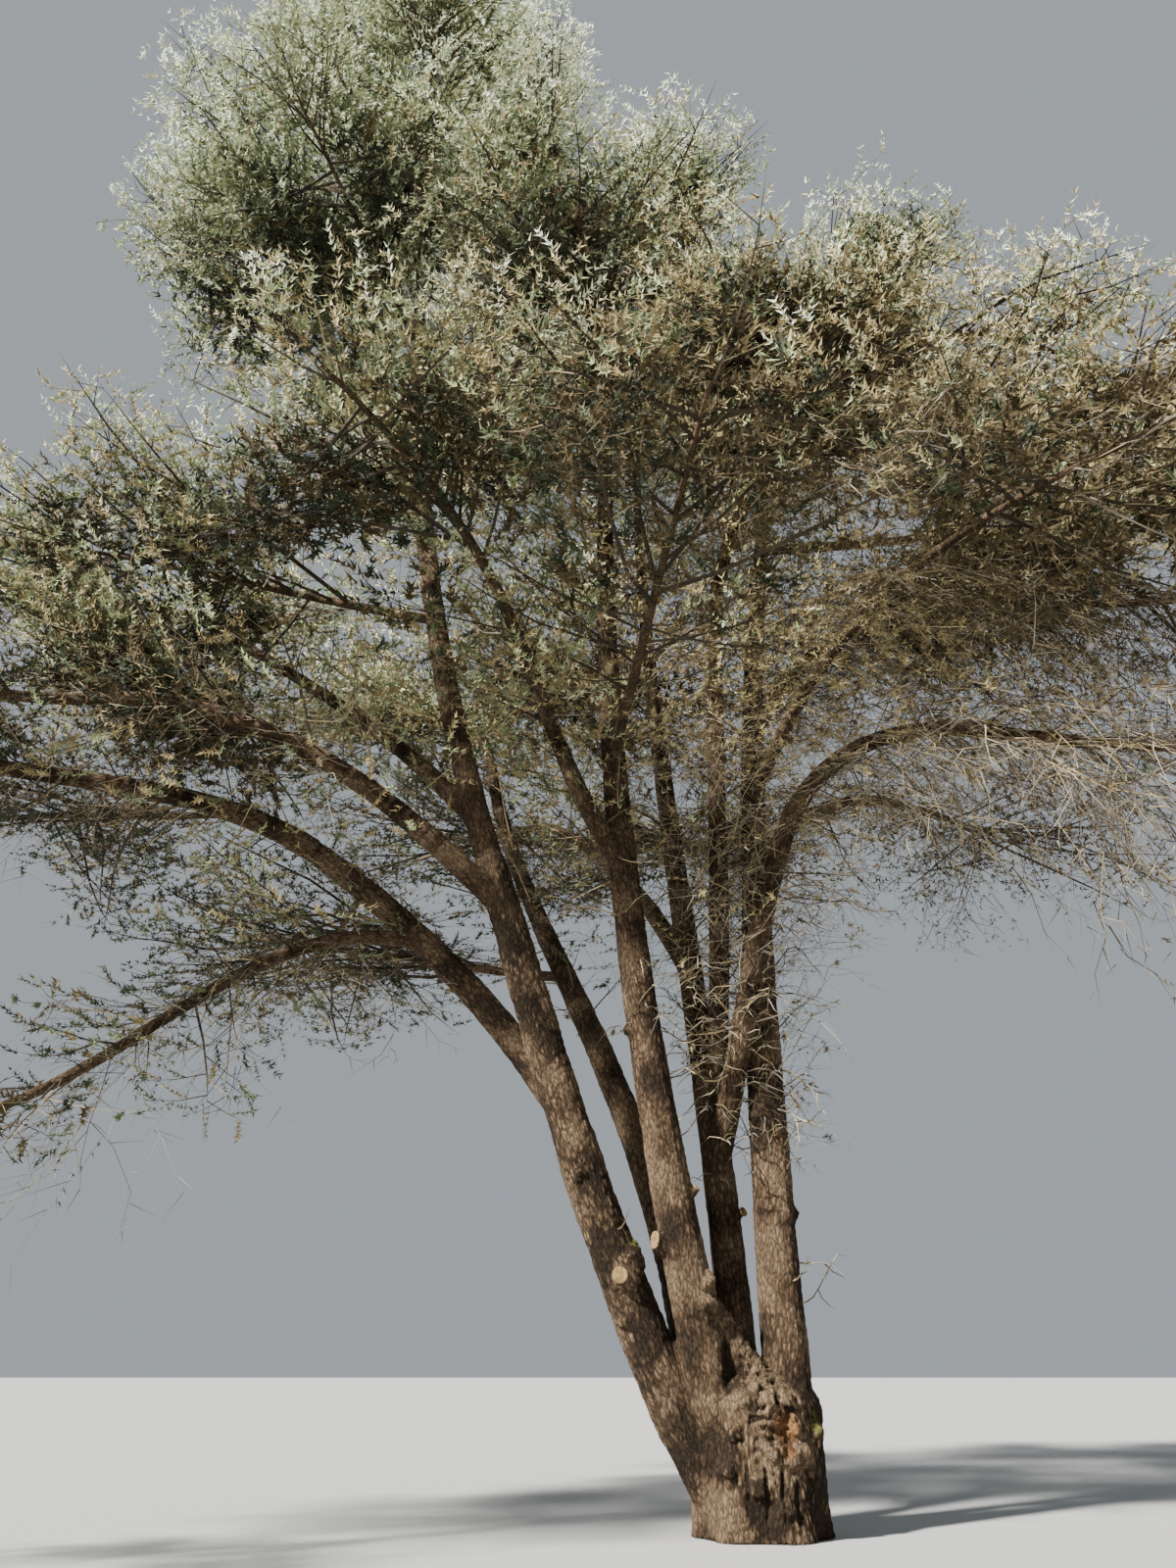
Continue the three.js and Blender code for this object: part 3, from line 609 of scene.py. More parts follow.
def put_attribute(mesh, name, values):
    kind = "FLOAT_VECTOR" if values.ndim == 2 else "FLOAT"
    layer = mesh.attributes.new(name, kind, "POINT")
    layer.data.foreach_set("vector" if values.ndim == 2 else "value", values.astype(np.float32).ravel())


def raise_bark(mesh, names):
    """Pushes a mesh's corners out into the relief, and keeps the grain on it."""
    points = corners(mesh)
    outside, grains, sizes = nearest_limbs(points, names)
    weights = np.exp(-np.maximum(outside, -0.02) / FORK_BLEND)
    blended = weights[1] > 0.03 * weights[0]
    heights = bark_height(grains[0], sizes[0])
    second = bark_height(grains[1][blended], sizes[1][blended])
    part = weights[1][blended] / (weights[0][blended] + weights[1][blended])
    heights[blended] = mix(heights[blended], second, part)
    heights += torn_height(points)
    put_attribute(mesh, "relief", heights / CRACK_DEEP)
    points = points + read_rows(mesh.vertex_normals, "vector", len(points)) * heights[:, None]
    points[:, 2] = np.maximum(points[:, 2], 0)
    mesh.vertices.foreach_set("co", points.ravel())
    put_attribute(mesh, "grain", grains[0])
    mesh.update()
    return heights


# %% [markdown]
# Fresh from the remesh, the forks are sharp creases. On the tree they are filled with folded bark, so the
# corners near two limbs at once are smoothed more than the rest before the relief goes on.

# %% Soften the forks and raise the lower bark
FORK_REACH = 0.16  # metres from the second limb's skin within which a corner lies in a fork


def soften(mesh, names):
    points = corners(mesh)
    outside = nearest_limbs(points, names)[0]
    bm = bmesh.new()
    bm.from_mesh(mesh)
    bm.verts.ensure_lookup_table()
    everywhere = list(bm.verts)
    forks = [bm.verts[i] for i in np.flatnonzero(outside[1] < FORK_REACH)]
    for part, times in ((everywhere, 3), (forks, 10)):
        for _ in range(times):
            bmesh.ops.smooth_vert(
                bm, verts=part, factor=0.5, use_axis_x=True, use_axis_y=True, use_axis_z=True,
            )
    bm.to_mesh(mesh)
    bm.free()
    return len(forks)


print(soften(low_skin, FUSED_TO), "corners lie in forks")
low_heights = raise_bark(low_skin, FUSED_TO)
print("relief of the lower bark:", round(low_heights.min(), 4), "to", round(low_heights.max(), 4), "m")

# %% [markdown]
# One mesh of that size would be thinned when it is handed on, so it is cut level into closed parts. A cut
# across a limb doesn't show, because both sides of it have the same corners, and its rim is kept sharp.

# %% Cut the lower bark into parts
CUTS = {
    "bark_butt": (0, 2.3), "bark_stems_low": (2.3, 4.5), "bark_stems_middle": (4.5, 7.2),
    "bark_stems_high": (7.2, 30),
}
TREE_TOP = 29


def slab(mesh, low, high, name):
    """The part of a closed mesh between two levels, closed again at the cuts."""
    bm = bmesh.new()
    bm.from_mesh(mesh)
    for level, way in ((low, -1), (high, 1)):
        if 0 < level < TREE_TOP:
            everything = list(bm.verts) + list(bm.edges) + list(bm.faces)
            cut = bmesh.ops.bisect_plane(
                bm, geom=everything, plane_co=(0, 0, level), plane_no=(0, 0, way), clear_outer=True
            )
            rim = [item for item in cut["geom_cut"] if isinstance(item, bmesh.types.BMEdge)]
            bmesh.ops.holes_fill(bm, edges=rim)
            for edge in rim:
                edge.smooth = False
    return as_mesh(bm, name, outward=False)


def add_piece(name, mesh, smooth=True):
    """A finished mesh as a piece of the tree."""
    piece = bpy.data.objects.new(name, mesh)
    bpy.context.scene.collection.objects.link(piece)
    mesh.polygons.foreach_set("use_smooth", np.full(len(mesh.polygons), smooth))
    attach(piece, "root")
    return piece


low_pieces = []
for name, (low, high) in CUTS.items():
    low_pieces.append(add_piece(name, slab(low_skin, low, high, name)))
    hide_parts("butt", *FUSED_TO)
    print(name, "has", sum(len(p.vertices) - 2 for p in low_pieces[-1].data.polygons), "triangles")
bpy.data.meshes.remove(low_skin)

# %% [markdown]
# Above the forks each limb is a rod of its own with the same relief. It starts a little inside the fused
# skin, so the two run into each other.

# %% The upper limbs
OVERLAP = 0.25  # of upper bark that is sunk in the fused skin
UPPER_STEP = 0.055
LIMB_PIECES = {}
for name, line in lines.items():
    first = max(0.0, FUSED_TO.get(name, 0.0) - OVERLAP / line.length)
    if first + 2 * OVERLAP / line.length >= 1:
        continue
    sides = int(np.clip(2 * math.pi * max(line.radius) / UPPER_STEP, 12, 26))
    mesh = rod(line, first, 1, sides, UPPER_STEP)
    raise_bark(mesh, [name])
    LIMB_PIECES[name] = add_piece("bark_" + name, mesh)
    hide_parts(name)
print(len(LIMB_PIECES), "upper limbs,", sum(len(p.data.polygons) for p in LIMB_PIECES.values()), "faces")

# %% [markdown]
# The sawn faces are weathered wood with fine rings. Each is a disc that is inset and pushed back a
# little, so the bark stands round it as a lip. Every corner keeps how far it is from the pith, for the
# rings of the finish.

# %% Sawn faces
def sawn_face(line):
    bm = bmesh.new()
    front = pulled_out(bm, disc_face(bm, 40, 0.97, ring_place(line, 1)))
    bmesh.ops.translate(bm, vec=Vector(line.way(1)) * 0.016, verts=front.verts)
    bmesh.ops.inset_region(bm, faces=[front], thickness=0.012, depth=0.004)
    bmesh.ops.inset_region(bm, faces=[front], thickness=0.02, depth=-0.003)
    bmesh.ops.poke(bm, faces=[front])
    return as_mesh(bm, "sawn")


sawn_mesh = joined([sawn_face(line) for line in peg_lines.values()])
sawn = add_piece("sawn_faces", sawn_mesh, smooth=False)
face_middles = np.array([line.point(1) for line in peg_lines.values()])
apart = np.linalg.norm(corners(sawn.data)[:, None, :] - face_middles[None, :, :], axis=2)
from_pith = np.stack((apart.min(axis=1), 0.05 * apart.argmin(axis=1), 0 * apart[:, 0]), axis=1)
put_attribute(sawn.data, "from_pith", from_pith)
print("sawn faces:", len(sawn.data.polygons), "faces")

# %% [markdown]
# Foliage grows in masses. Each sets off from a limb and fills a flattened egg of space: its stem runs
# through the egg, twigs branch off the stem to both sides, and each twig carries flat fans of branchlets.
# The table is the solids' own: limb, share of its length, heading and rise, then reach, half width and
# half height. A dense mass has more twigs. The last column is the region that its twigs and needles are
# joined into.

# %% The masses of foliage
DENSE, OPEN = True, False
MASSES = [
    ("top", "leader", 1, (150, 84), (2.3, 1.4, 1.4), DENSE, "top"),
    ("top_left", "leader", 0.9, (194, 12), (3.2, 2.2, 1.3), DENSE, "top"),
    ("top_right", "leader", 0.9, (12, 14), (2.9, 1.8, 1.2), DENSE, "top"),
    ("top_front", "leader", 0.8, (278, 12), (3.5, 1.8, 1.3), DENSE, "top"),
    ("top_back", "leader", 0.8, (96, 14), (4.6, 2.5, 1.5), DENSE, "top"),
    ("upper_left", "leader", 0.72, (196, 8), (4.7, 2.1, 1.2), DENSE, "top"),
    ("upper_right", "leader", 0.7, (350, 12), (4.0, 2.2, 1.4), DENSE, "top"),
    ("middle_left", "leader", 0.58, (180, 8), (4.7, 2.5, 1.4), DENSE, "heart"),
    ("middle_front", "leader", 0.54, (250, 12), (4.9, 2.4, 1.4), DENSE, "heart"),
    ("middle_back", "leader", 0.56, (92, 10), (6.2, 2.9, 1.5), DENSE, "heart"),
    ("left_shoulder", "leader", 0.22, (184, 8), (6.9, 2.5, 1.1), DENSE, "left"),
    ("left_arch", "bough_left_arch", 0.56, (164, 22), (4.2, 2.1, 1.1), DENSE, "left"),
    ("left_front", "bough_left_arch", 1, (198, 2), (5.6, 2.7, 1.4), DENSE, "left"),
    ("left_back", "bough_left_rising", 1, (164, 8), (5.8, 2.9, 1.5), DENSE, "left"),
    ("left_low", "bough_left_long_outer", 1, (204, -6), (4.6, 2.2, 1.2), OPEN, "left"),
    ("left_low_back", "bough_left_long_outer", 0.3, (158, 6), (4.6, 2.3, 1.1), OPEN, "left"),
    ("left_low_inner", "bough_left_long", 0.86, (112, -4), (4.2, 2.0, 1.0), OPEN, "left"),
    ("left_drooping", "bough_left_drooping", 1, (222, -26), (3.6, 1.9, 1.0), OPEN, "left"),
    ("back_left_high", "stem_back_left", 1, (128, 26), (5.8, 3.0, 1.7), DENSE, "back"),
    ("back_left_low", "stem_back_left", 0.55, (160, 10), (7.4, 2.7, 1.3), OPEN, "back"),
    ("back_low", "bough_back_low_left", 1, (126, 10), (5.0, 2.7, 1.4), OPEN, "back"),
    ("centre_top", "stem_middle", 1, (30, 44), (2.8, 2.0, 1.5), DENSE, "heart"),
    ("centre_front", "stem_middle", 0.7, (264, 16), (5.4, 2.7, 1.7), DENSE, "heart"),
    ("front_left", "bough_front_left", 1, (226, 18), (5.0, 2.5, 1.5), DENSE, "heart"),
    ("front_low", "stem_middle", 0.43, (280, 14), (7.2, 2.5, 1.5), DENSE, "heart"),
    ("centre_back", "stem_centre", 1, (42, 56), (4.8, 2.7, 2.2), DENSE, "back"),
    ("centre_inner", "stem_centre", 0.66, (118, 20), (5.2, 2.5, 1.6), DENSE, "back"),
    ("back_middle", "stem_centre", 0.5, (84, 16), (9.6, 2.9, 1.6), DENSE, "back"),
    ("right_top", "stem_right", 1, (12, 26), (2.8, 2.0, 1.4), DENSE, "right"),
    ("right_shoulder", "bough_right_shoulder", 1, (12, -20), (4.8, 2.2, 1.05), DENSE, "right"),
    ("right_front", "bough_right_shoulder", 0.42, (272, 4), (4.3, 2.3, 1.25), DENSE, "right"),
    ("right_high", "bough_right_high", 1, (350, -34), (4.6, 2.2, 1.05), DENSE, "right"),
    ("right_middle", "bough_right_middle", 1, (332, -10), (5.4, 2.6, 1.5), OPEN, "right"),
    ("right_inner", "bough_right_middle", 0.42, (10, 22), (4.6, 2.0, 1.3), DENSE, "right"),
    ("right_low", "bough_right_low", 1, (324, -16), (4.8, 2.4, 1.3), OPEN, "right"),
    ("front_right", "bough_front_right", 1, (302, -12), (4.5, 2.4, 1.15), DENSE, "right"),
    ("back_right", "bough_back_right", 1, (42, 2), (5.0, 2.9, 1.5), OPEN, "back"),
    ("right_back", "stem_right", 0.68, (16, 14), (9.2, 2.9, 1.7), DENSE, "back"),
]
print(len(MASSES), "masses,", sum(row[5] for row in MASSES), "of them dense")

# %% [markdown]
# A twig has to know how much room it has. So the egg of each mass is kept as its middle, three directions
# and three half widths, and a point is measured in it as if it were a round ball. Its stem is a limb's line
# like any other: it goes on from the tip of its limb, or leaves it at the side.

# %% The space of each mass
FULLNESS = 1.25  # how much wider and deeper than its own row a mass grows


class Space:
    """The flattened eggs of space of all the masses, as arrays, and the stem through each."""

    along = unit(np.array([directions(*row[3]) for row in MASSES]))
    side = unit(np.cross(UP, along))
    lift = np.cross(along, side)
    reach = np.array([row[4][0] for row in MASSES])
    spread = FULLNESS * np.array([row[4][1] for row in MASSES])
    depth = FULLNESS * np.array([row[4][2] for row in MASSES])
    half = np.minimum(reach * 0.54, 3.0)
    dense = np.array([row[5] for row in MASSES])
    region = np.array([row[6] for row in MASSES])
    root = np.array([lines[row[1]].point(row[2]) for row in MASSES])
    free = np.array([0 if row[2] == 1 else lines[row[1]].thick(row[2]) * 1.5 for row in MASSES])
    centre = root + along * (free + reach - half)[:, None]
    bare = np.maximum(0.2, 1 - 1.9 * half / reach)


def in_egg(rows, mass):
    """Vectors as measured in their mass's egg, where the skin is at 1."""
    along = (rows * Space.along[mass]).sum(axis=-1) / Space.half[mass]
    side = (rows * Space.side[mass]).sum(axis=-1) / Space.spread[mass]
    lift = (rows * Space.lift[mass]).sum(axis=-1) / Space.depth[mass]
    return np.stack((along, side, lift), axis=-1)


def depth_of(points, mass):
    """0 in the middle of the egg and 1 on its skin."""
    return np.linalg.norm(in_egg(points - Space.centre[mass], mass), axis=-1)


def room(points, ways, mass):
    """How far one can go from each point before leaving the egg."""
    start, step = in_egg(points - Space.centre[mass], mass), in_egg(ways, mass)
    a = (step * step).sum(axis=-1)
    b = (start * step).sum(axis=-1)
    c = (start * start).sum(axis=-1) - 1
    inside = b * b - a * c
    return np.where(inside > 0, (np.sqrt(np.maximum(inside, 0)) - b) / a, 0)


mass_stems = []
for m, (_, on, at, (heading, rise), (reach, _, _), _, _) in enumerate(MASSES):
    turn, climb = (heading, heading), (rise, rise + 4, rise)
    radius = 0.012 + reach / 110
    if at == 1:
        turn, climb = going_on(lines[on], turn, climb)
        radius = lines[on].radius[1]
    mass_stems.append(LimbLine(Space.root[m], 0.8 * reach, turn, climb, (radius, 0.35 * radius)))
print("the longest mass reaches", Space.reach.max(), "m from its limb")

# %% [markdown]
# A tree has tens of thousands of twigs, far too many to make one by one. They are kept as arrays with a
# row for each: where it is rooted, the way it goes, how it bends up or down, how it strays from its curve,
# its length and its radius.

# %% Twigs as arrays
FIELDS = ("root", "way", "normal", "bend", "kink", "length", "thick", "mass", "dry", "tint")
FULL_TURN = 6.3  # just over a full turn, in radians, for where a twig's kinks start


class Twigs:
    """Many crooked twigs, a row each. dry is 1 on a dead one, tint says how pale its needles are."""

    def __init__(self, **fields):
        for field in FIELDS:
            setattr(self, field, fields[field])

    def __len__(self):
        return len(self.length)

    def pick(self, rows):
        return Twigs(**{field: getattr(self, field)[rows] for field in FIELDS})

    def sway(self, t):
        """How far a crooked twig strays from its curve and how steeply, as shares of its length."""
        strays = 0.03 + 0.06 * self.dry
        turns = (self.kink + 5.3 * t, 2 * self.kink + 4.1 * t)
        up = strays * (np.sin(turns[0]) - np.sin(self.kink)), strays * 5.3 * np.cos(turns[0])
        aside = strays * (np.sin(turns[1]) - np.sin(2 * self.kink)), strays * 4.1 * np.cos(turns[1])
        return up, aside, np.cross(self.way, self.normal)

    def point(self, t):
        t = t * np.ones(len(self))
        far = (self.length * t)[:, None]
        up, aside, side = self.sway(t)
        stray = (up[0][:, None] * self.normal + aside[0][:, None] * side) * self.length[:, None]
        return self.root + self.way * far + self.bend[:, None] * UP * far * t[:, None] + stray

    def course(self, t):
        t = t * np.ones(len(self))
        up, aside, side = self.sway(t)
        bent = self.way + 2 * self.bend[:, None] * UP * t[:, None]
        return unit(bent + up[1][:, None] * self.normal + aside[1][:, None] * side)


def both(*groups):
    return Twigs(**{field: np.concatenate([getattr(g, field) for g in groups]) for field in FIELDS})


def level_normal(way):
    """The direction square to a twig that is nearest to straight up."""
    return unit(np.cross(np.cross(way, UP), way))


def rolled(normal, way, angle):
    """Directions square to a twig, turned round it by angles in radians."""
    return normal * np.cos(angle)[:, None] + np.cross(way, normal) * np.sin(angle)[:, None]


trial_way = directions(np.array([0.0]), np.array([45.0]))
print("square to a twig that climbs at 45 degrees is", level_normal(trial_way)[0].round(2))

# %% [markdown]
# One function grows side twigs on any set of twigs, in turn to the left and to the right, which gives the
# flat fans of a cedar. Angles and lengths vary by chance, the more so on a dead parent, which has also lost
# some of its side twigs.

# %% Side twigs
THICKEST_SIDE = 0.0085  # radius of a side twig, in metres
DEAD_LOSES = 0.28  # share of its side twigs that a dead one has lost


def side_twigs(parents, spacing, span, angle, sizes, thin, bend, seed):
    """Twigs along each parent. sizes are their lengths near its foot and its tip."""
    counts = np.maximum(1, np.round(parents.length * (span[1] - span[0]) / spacing)).astype(int)
    of = np.repeat(np.arange(len(parents)), counts)
    order = np.arange(len(of)) - np.repeat(np.cumsum(counts) - counts, counts)
    n = np.arange(len(of))
    t = span[0] + (span[1] - span[0]) * (order + 0.25 + 0.5 * share(n, seed)) / counts[of]
    parent = parents.pick(of)
    along = parent.course(t)
    hand = np.where(order % 2, 1.0, -1.0)[:, None]
    ragged = 0.25 + 0.35 * parent.dry
    out = np.radians(angle) * (1 + ragged * (2 * chance(n, seed + 1) - 1))
    aside = unit(np.cross(parent.normal, along)) * hand
    tilt = parent.normal * (0.5 * (chance(n, seed + 2) - 0.5))[:, None]
    way = unit(along * np.cos(out)[:, None] + (aside + tilt) * np.sin(out)[:, None])
    uneven = 1 + 1.3 * ragged * (2 * chance(n, seed + 3) - 1)
    length = mix(*sizes, t) * uneven * np.minimum(1, parent.length / sizes[0])
    grown = Twigs(
        root=parent.point(t), way=way, normal=unit(np.cross(np.cross(way, parent.normal), way)),
        bend=mix(*bend, parent.dry) + 0.1 * (chance(n, seed + 4) - 0.5),
        kink=FULL_TURN * chance(n, seed + 5),
        length=length, thick=np.minimum(parent.thick * thin, THICKEST_SIDE),
        mass=parent.mass, dry=parent.dry, tint=parent.tint,
    )
    return grown.pick(chance(n, seed + 6) > DEAD_LOSES * parent.dry)


lost = (chance(np.arange(1000), 0) <= DEAD_LOSES).mean()
print("of 1000 side twigs a dead parent would lose", round(1000 * lost))

# %% [markdown]
# The first twigs branch off each mass's stem in turn to the left and right, as the solids' do. A cedar's
# boughs lie in plates, so they set off in three layers that open like the leaves of a book: one rises,
# one is level and one sinks. They run to the skin of the egg. Towards the lower right the tree is dry, and
# many of its twigs have lost their needles. A value between 0 and 1 says how dry it is at any place.

# %% The first twigs
TWIGS = {DENSE: 30, OPEN: 26}  # on the stem of a mass
LAYERS = 3
OFF_STEM = (24, 84)  # degrees between the stem and a twig
REACHES = 1.12  # how far a twig goes, where 1 is the skin of its egg


def dryness(points):
    """How likely a twig is bare there: more to the right and below, and hardly at the top."""
    right = np.clip((points[:, 0] + 4.0) / 6.0, 0, 1)
    low = np.clip((17.5 - points[:, 2]) / 4.5, 0, 1)
    under = np.clip((11.0 - points[:, 2]) / 4.0, 0, 1) * np.clip((points[:, 0] + 9.0) / 5.0, 0.3, 1)
    return np.maximum(right * low, 0.6 * under)


def first_twigs(m):
    """The twigs on the stem of one mass."""
    stem = mass_stems[m]
    k = np.arange(TWIGS[bool(Space.dense[m])])
    s = mix(Space.bare[m], 0.97, share(k, 0.3 * m))
    root, along = stem.point(s), stem.way(s)
    side = unit(np.cross(UP, along)) * np.where(k % 2, 1.0, -1.0)[:, None]
    layer = k // 2 % LAYERS - (LAYERS - 1) / 2
    out = np.radians(mix(*OFF_STEM, share(k, m)))
    flat = Space.depth[m] / Space.spread[m]
    level = unit(along * np.cos(out)[:, None] + side * np.sin(out)[:, None])
    way = unit(level + (0.75 * layer * flat + 0.16 * (share(k, m + 4) - 0.5))[:, None] * UP)
    root = np.vstack((root, stem.point(np.array([0.94]))))
    way = np.vstack((way, stem.way(np.array([1.0]))))
    k = np.arange(len(way))
    mass = np.full(len(k), m)
    length = np.clip(REACHES * room(root, way, mass), 0.6, 4.2) * mix(0.8, 1.1, chance(k, m + 5))
    normal = rolled(level_normal(way), way, np.radians(30 * (chance(k, m + 1) - 0.5)))
    tips = root + way * length[:, None]
    dry = (chance(k, m + 2) < 0.45 * dryness(tips)).astype(float)
    # Painted highlight and shade: sprays high in their egg get paler needles, low ones darker.
    high = in_egg(tips - Space.centre[m], mass)[:, 2]
    tint = 0.52 + 0.3 * high + 0.3 * (chance(k, m + 3) - 0.5)
    bend = mix(-0.04, 0.07, Space.dense[m]) + 0.002 * MASSES[m][3][1] - 0.14 * dry
    length = length * mix(1.0, 0.8, dry)
    return Twigs(
        root=root, way=way, normal=normal, bend=bend, kink=FULL_TURN * share(k, m + 6), length=length,
        thick=(0.008 + 0.007 * length) * mix(1.0, 0.6, dry), mass=mass, dry=dry, tint=tint,
    )


low_right, top_left = dryness(np.array(((2.0, 0.0, 9.0), (-6.0, 0.0, 22.0))))
print("dryness low on the right is", round(low_right, 2), "and at the top on the left", round(top_left, 2))

# %% [markdown]
# On the twigs grow branchlets, and on these grow shoots, both by the rule for side twigs. The living kind
# and the dead kind have their own row of numbers. Twigs whose tips would stand outside the solids' box are
# cut back first.

# %% Branchlets and shoots
# Spacing, part of the parent, angle, lengths near its foot and tip, thinning, and the bend of a living
# and a dead one.
COLUMNS = ("spacing", "span", "angle", "sizes", "thin", "bend")
BRANCHLETS = dict(zip(COLUMNS, (0.25, (0.1, 0.97), 52, (1.1, 0.45), 0.42, (0.08, -0.2))))
SHOOTS = dict(zip(COLUMNS, (0.18, (0.1, 0.98), 50, (0.42, 0.24), 0.5, (0.1, -0.25))))
DEAD_BRANCHLETS = dict(zip(COLUMNS, (0.155, (0.1, 0.98), 44, (1.3, 0.5), 0.9, (0, -0.3))))
DEAD_SHOOTS = dict(zip(COLUMNS, (0.14, (0.15, 0.98), 46, (0.45, 0.2), 0.85, (0.1, -0.2))))


def grown_on(parents, living, dead, seed):
    """Side twigs on both kinds of parent. Where it is dry, some living parents carry a dead one."""
    alive = side_twigs(parents.pick(parents.dry < 0.5), **living, seed=seed)
    dies = share(np.arange(len(alive)), seed + 7) < 0.3 * dryness(alive.root)
    alive.dry = np.where(dies, 1.0, alive.dry)
    return both(alive, side_twigs(parents.pick(parents.dry > 0.5), **dead, seed=seed + 0.5))


box_low, box_high = np.array(cad_box[0]), np.array(cad_box[1])


def outside_box(group, over):
    tips = group.point(np.ones(len(group)))
    return ((tips < box_low - over) | (tips > box_high + over)).any(axis=1)


def shortened(group):
    """Each twig cut back until its tip lies in the solids' box."""
    for _ in range(16):
        group.length = np.where(outside_box(group, 0), 0.85 * group.length, group.length)
    return group


twigs = shortened(both(*[first_twigs(m) for m in range(len(MASSES))]))
branchlets = grown_on(twigs, BRANCHLETS, DEAD_BRANCHLETS, 1)
branchlets.tint = branchlets.tint + 0.35 * (share(np.arange(len(branchlets)), 6) - 0.5)
shoots = grown_on(branchlets, SHOOTS, DEAD_SHOOTS, 2)
print(len(twigs), "twigs,", len(branchlets), "branchlets and", len(shoots), "shoots")

# %% [markdown]
# What grows out of its mass's space is left off, so the tree keeps the outline of its solids. So is what
# would stand outside the solids' box.

# %% Keep to the space
SKIN = 1.2  # how far out a tip may be, where 1 is the skin of the egg


def boxed(group):
    """Only the twigs that stay in the solids' box."""
    return group.pick(~outside_box(group, 0.06))


def within(group, skin):
    """Only the twigs that keep to the space of their mass."""
    tips = group.point(np.ones(len(group)))
    return boxed(group.pick(depth_of(tips, group.mass) < skin))


branchlets = within(branchlets, SKIN)
shoots = within(shoots, SKIN)
print(len(branchlets), "branchlets and", len(shoots), "shoots keep to their space")

# %% [markdown]
# Between the masses the boughs and stems carry smaller twigs of their own. High up and on the left these
# are alive and fill the tree from within. Lower down and on the right they are a tangle of dead twigs that
# hang and curl, some of them still with brown needles. They grow by the same rule, out of the limbs
# themselves.

# %% Twigs on the limbs
# For each limb: the share of its length from which twigs stand out of it, the space between them, how long
# the shortest and the longest are, and the share of them that are dead.
ON_LIMBS = {
    "stem_middle": (0.34, 0.08, (0.6, 3.0), 0.5), "stem_centre": (0.28, 0.07, (0.5, 3.0), 0.65),
    "stem_right": (0.13, 0.07, (0.4, 2.6), 0.8), "stem_back_left": (0.45, 0.15, (0.5, 2.4), 0.3),
    "stem_centre_right": (0.1, 0.06, (0.4, 2.6), 0.85),
    "stem_leaning_right": (0.3, 0.08, (0.4, 1.8), 0.9),
    "leader": (0.08, 0.11, (0.6, 3.2), 0.15), "bough_left_arch": (0.2, 0.08, (0.5, 2.4), 0.3),
    "bough_left_rising": (0.2, 0.1, (0.5, 2.4), 0.2), "bough_left_long": (0.45, 0.09, (0.4, 1.8), 0.4),
    "bough_left_long_outer": (0.1, 0.06, (0.5, 2.2), 0.3),
    "bough_left_drooping": (0.15, 0.06, (0.4, 2.2), 0.35),
    "bough_front_left": (0.3, 0.08, (0.5, 2.6), 0.35),
    "bough_right_shoulder": (0.1, 0.045, (0.6, 3.2), 0.7),
    "bough_right_low": (0.1, 0.034, (0.5, 3.2), 0.8), "bough_right_middle": (0.1, 0.024, (0.6, 3.4), 0.7),
    "bough_right_high": (0.0, 0.05, (0.6, 3.2), 0.75), "bough_back_low_left": (0.2, 0.1, (0.5, 2.4), 0.4),
    "bough_front_right": (0.2, 0.045, (0.5, 3.0), 0.8), "bough_back_right": (0.2, 0.08, (0.5, 2.6), 0.7),
}


def nearest_mass(points):
    apart = np.linalg.norm(points[:, None, :] - Space.centre[None, :, :], axis=2)
    return apart.argmin(axis=1)


def limb_twigs(name, seed):
    """Twigs all round a limb, each turned on by the golden angle from the one before."""
    line = lines[name]
    first, spacing, sizes, deadness = ON_LIMBS[name]
    k = np.arange(int(line.length * (1 - first) / spacing))
    s = mix(first, 1.0, (k + share(k, seed)) / len(k))
    along = line.way(s)
    square = unit(np.cross(along, (0.3, 0.2, 0.93)))
    around = rolled(square, along, np.radians(GOLDEN * k))
    alive = np.clip((line.point(s)[:, 2] - 12.0) / 6.0, -0.4, 0.8)
    dry = (chance(k, seed + 4) < deadness * (1 - alive)).astype(float)
    root = line.point(s) + around * (0.8 * line.thick(s))[:, None]
    spread = mix(1.0, 0.35 + 0.5 * chance(k, seed + 6), dry)[:, None]
    way = unit(spread * around + mix(0.7, 1.0, dry)[:, None] * along - (0.05 + 0.35 * dry)[:, None] * UP)
    longest = mix(sizes[1], 0.85 * sizes[1], dry) * np.minimum(1, 0.4 + 2 * (s - first))
    length = mix(sizes[0], longest, chance(k, seed + 1) ** 1.3)
    bend = mix(0.08, mix(0.2, -0.4, chance(k, seed + 2)), dry)
    # Their needles get a low tint: painted shade for the inside of the crown.
    return Twigs(
        root=root, way=way, normal=level_normal(way), bend=bend, kink=FULL_TURN * chance(k, seed + 5),
        length=length, thick=(0.006 + 0.006 * length) * mix(1.0, 0.4, dry),
        mass=nearest_mass(root + way * length[:, None]), dry=dry, tint=0.25 + 0.3 * chance(k, seed + 3),
    )


inner = shortened(both(*[limb_twigs(name, 3 + n) for n, name in enumerate(ON_LIMBS)]))
inner_side = boxed(grown_on(inner, BRANCHLETS, DEAD_BRANCHLETS, 4))
inner_tips = boxed(grown_on(inner_side, SHOOTS, DEAD_SHOOTS, 5))
print(len(inner), "twigs on the limbs,", len(inner_side), "side twigs and", len(inner_tips), "tips")

# %% [markdown]
# Thin pale shoots curl out of the bark, all of them bare. Low on the stems there are a few, and each has a
# row. Further up they stand all over the stems, and under the right boughs they hang in a thicket, so a
# loop deals them out.

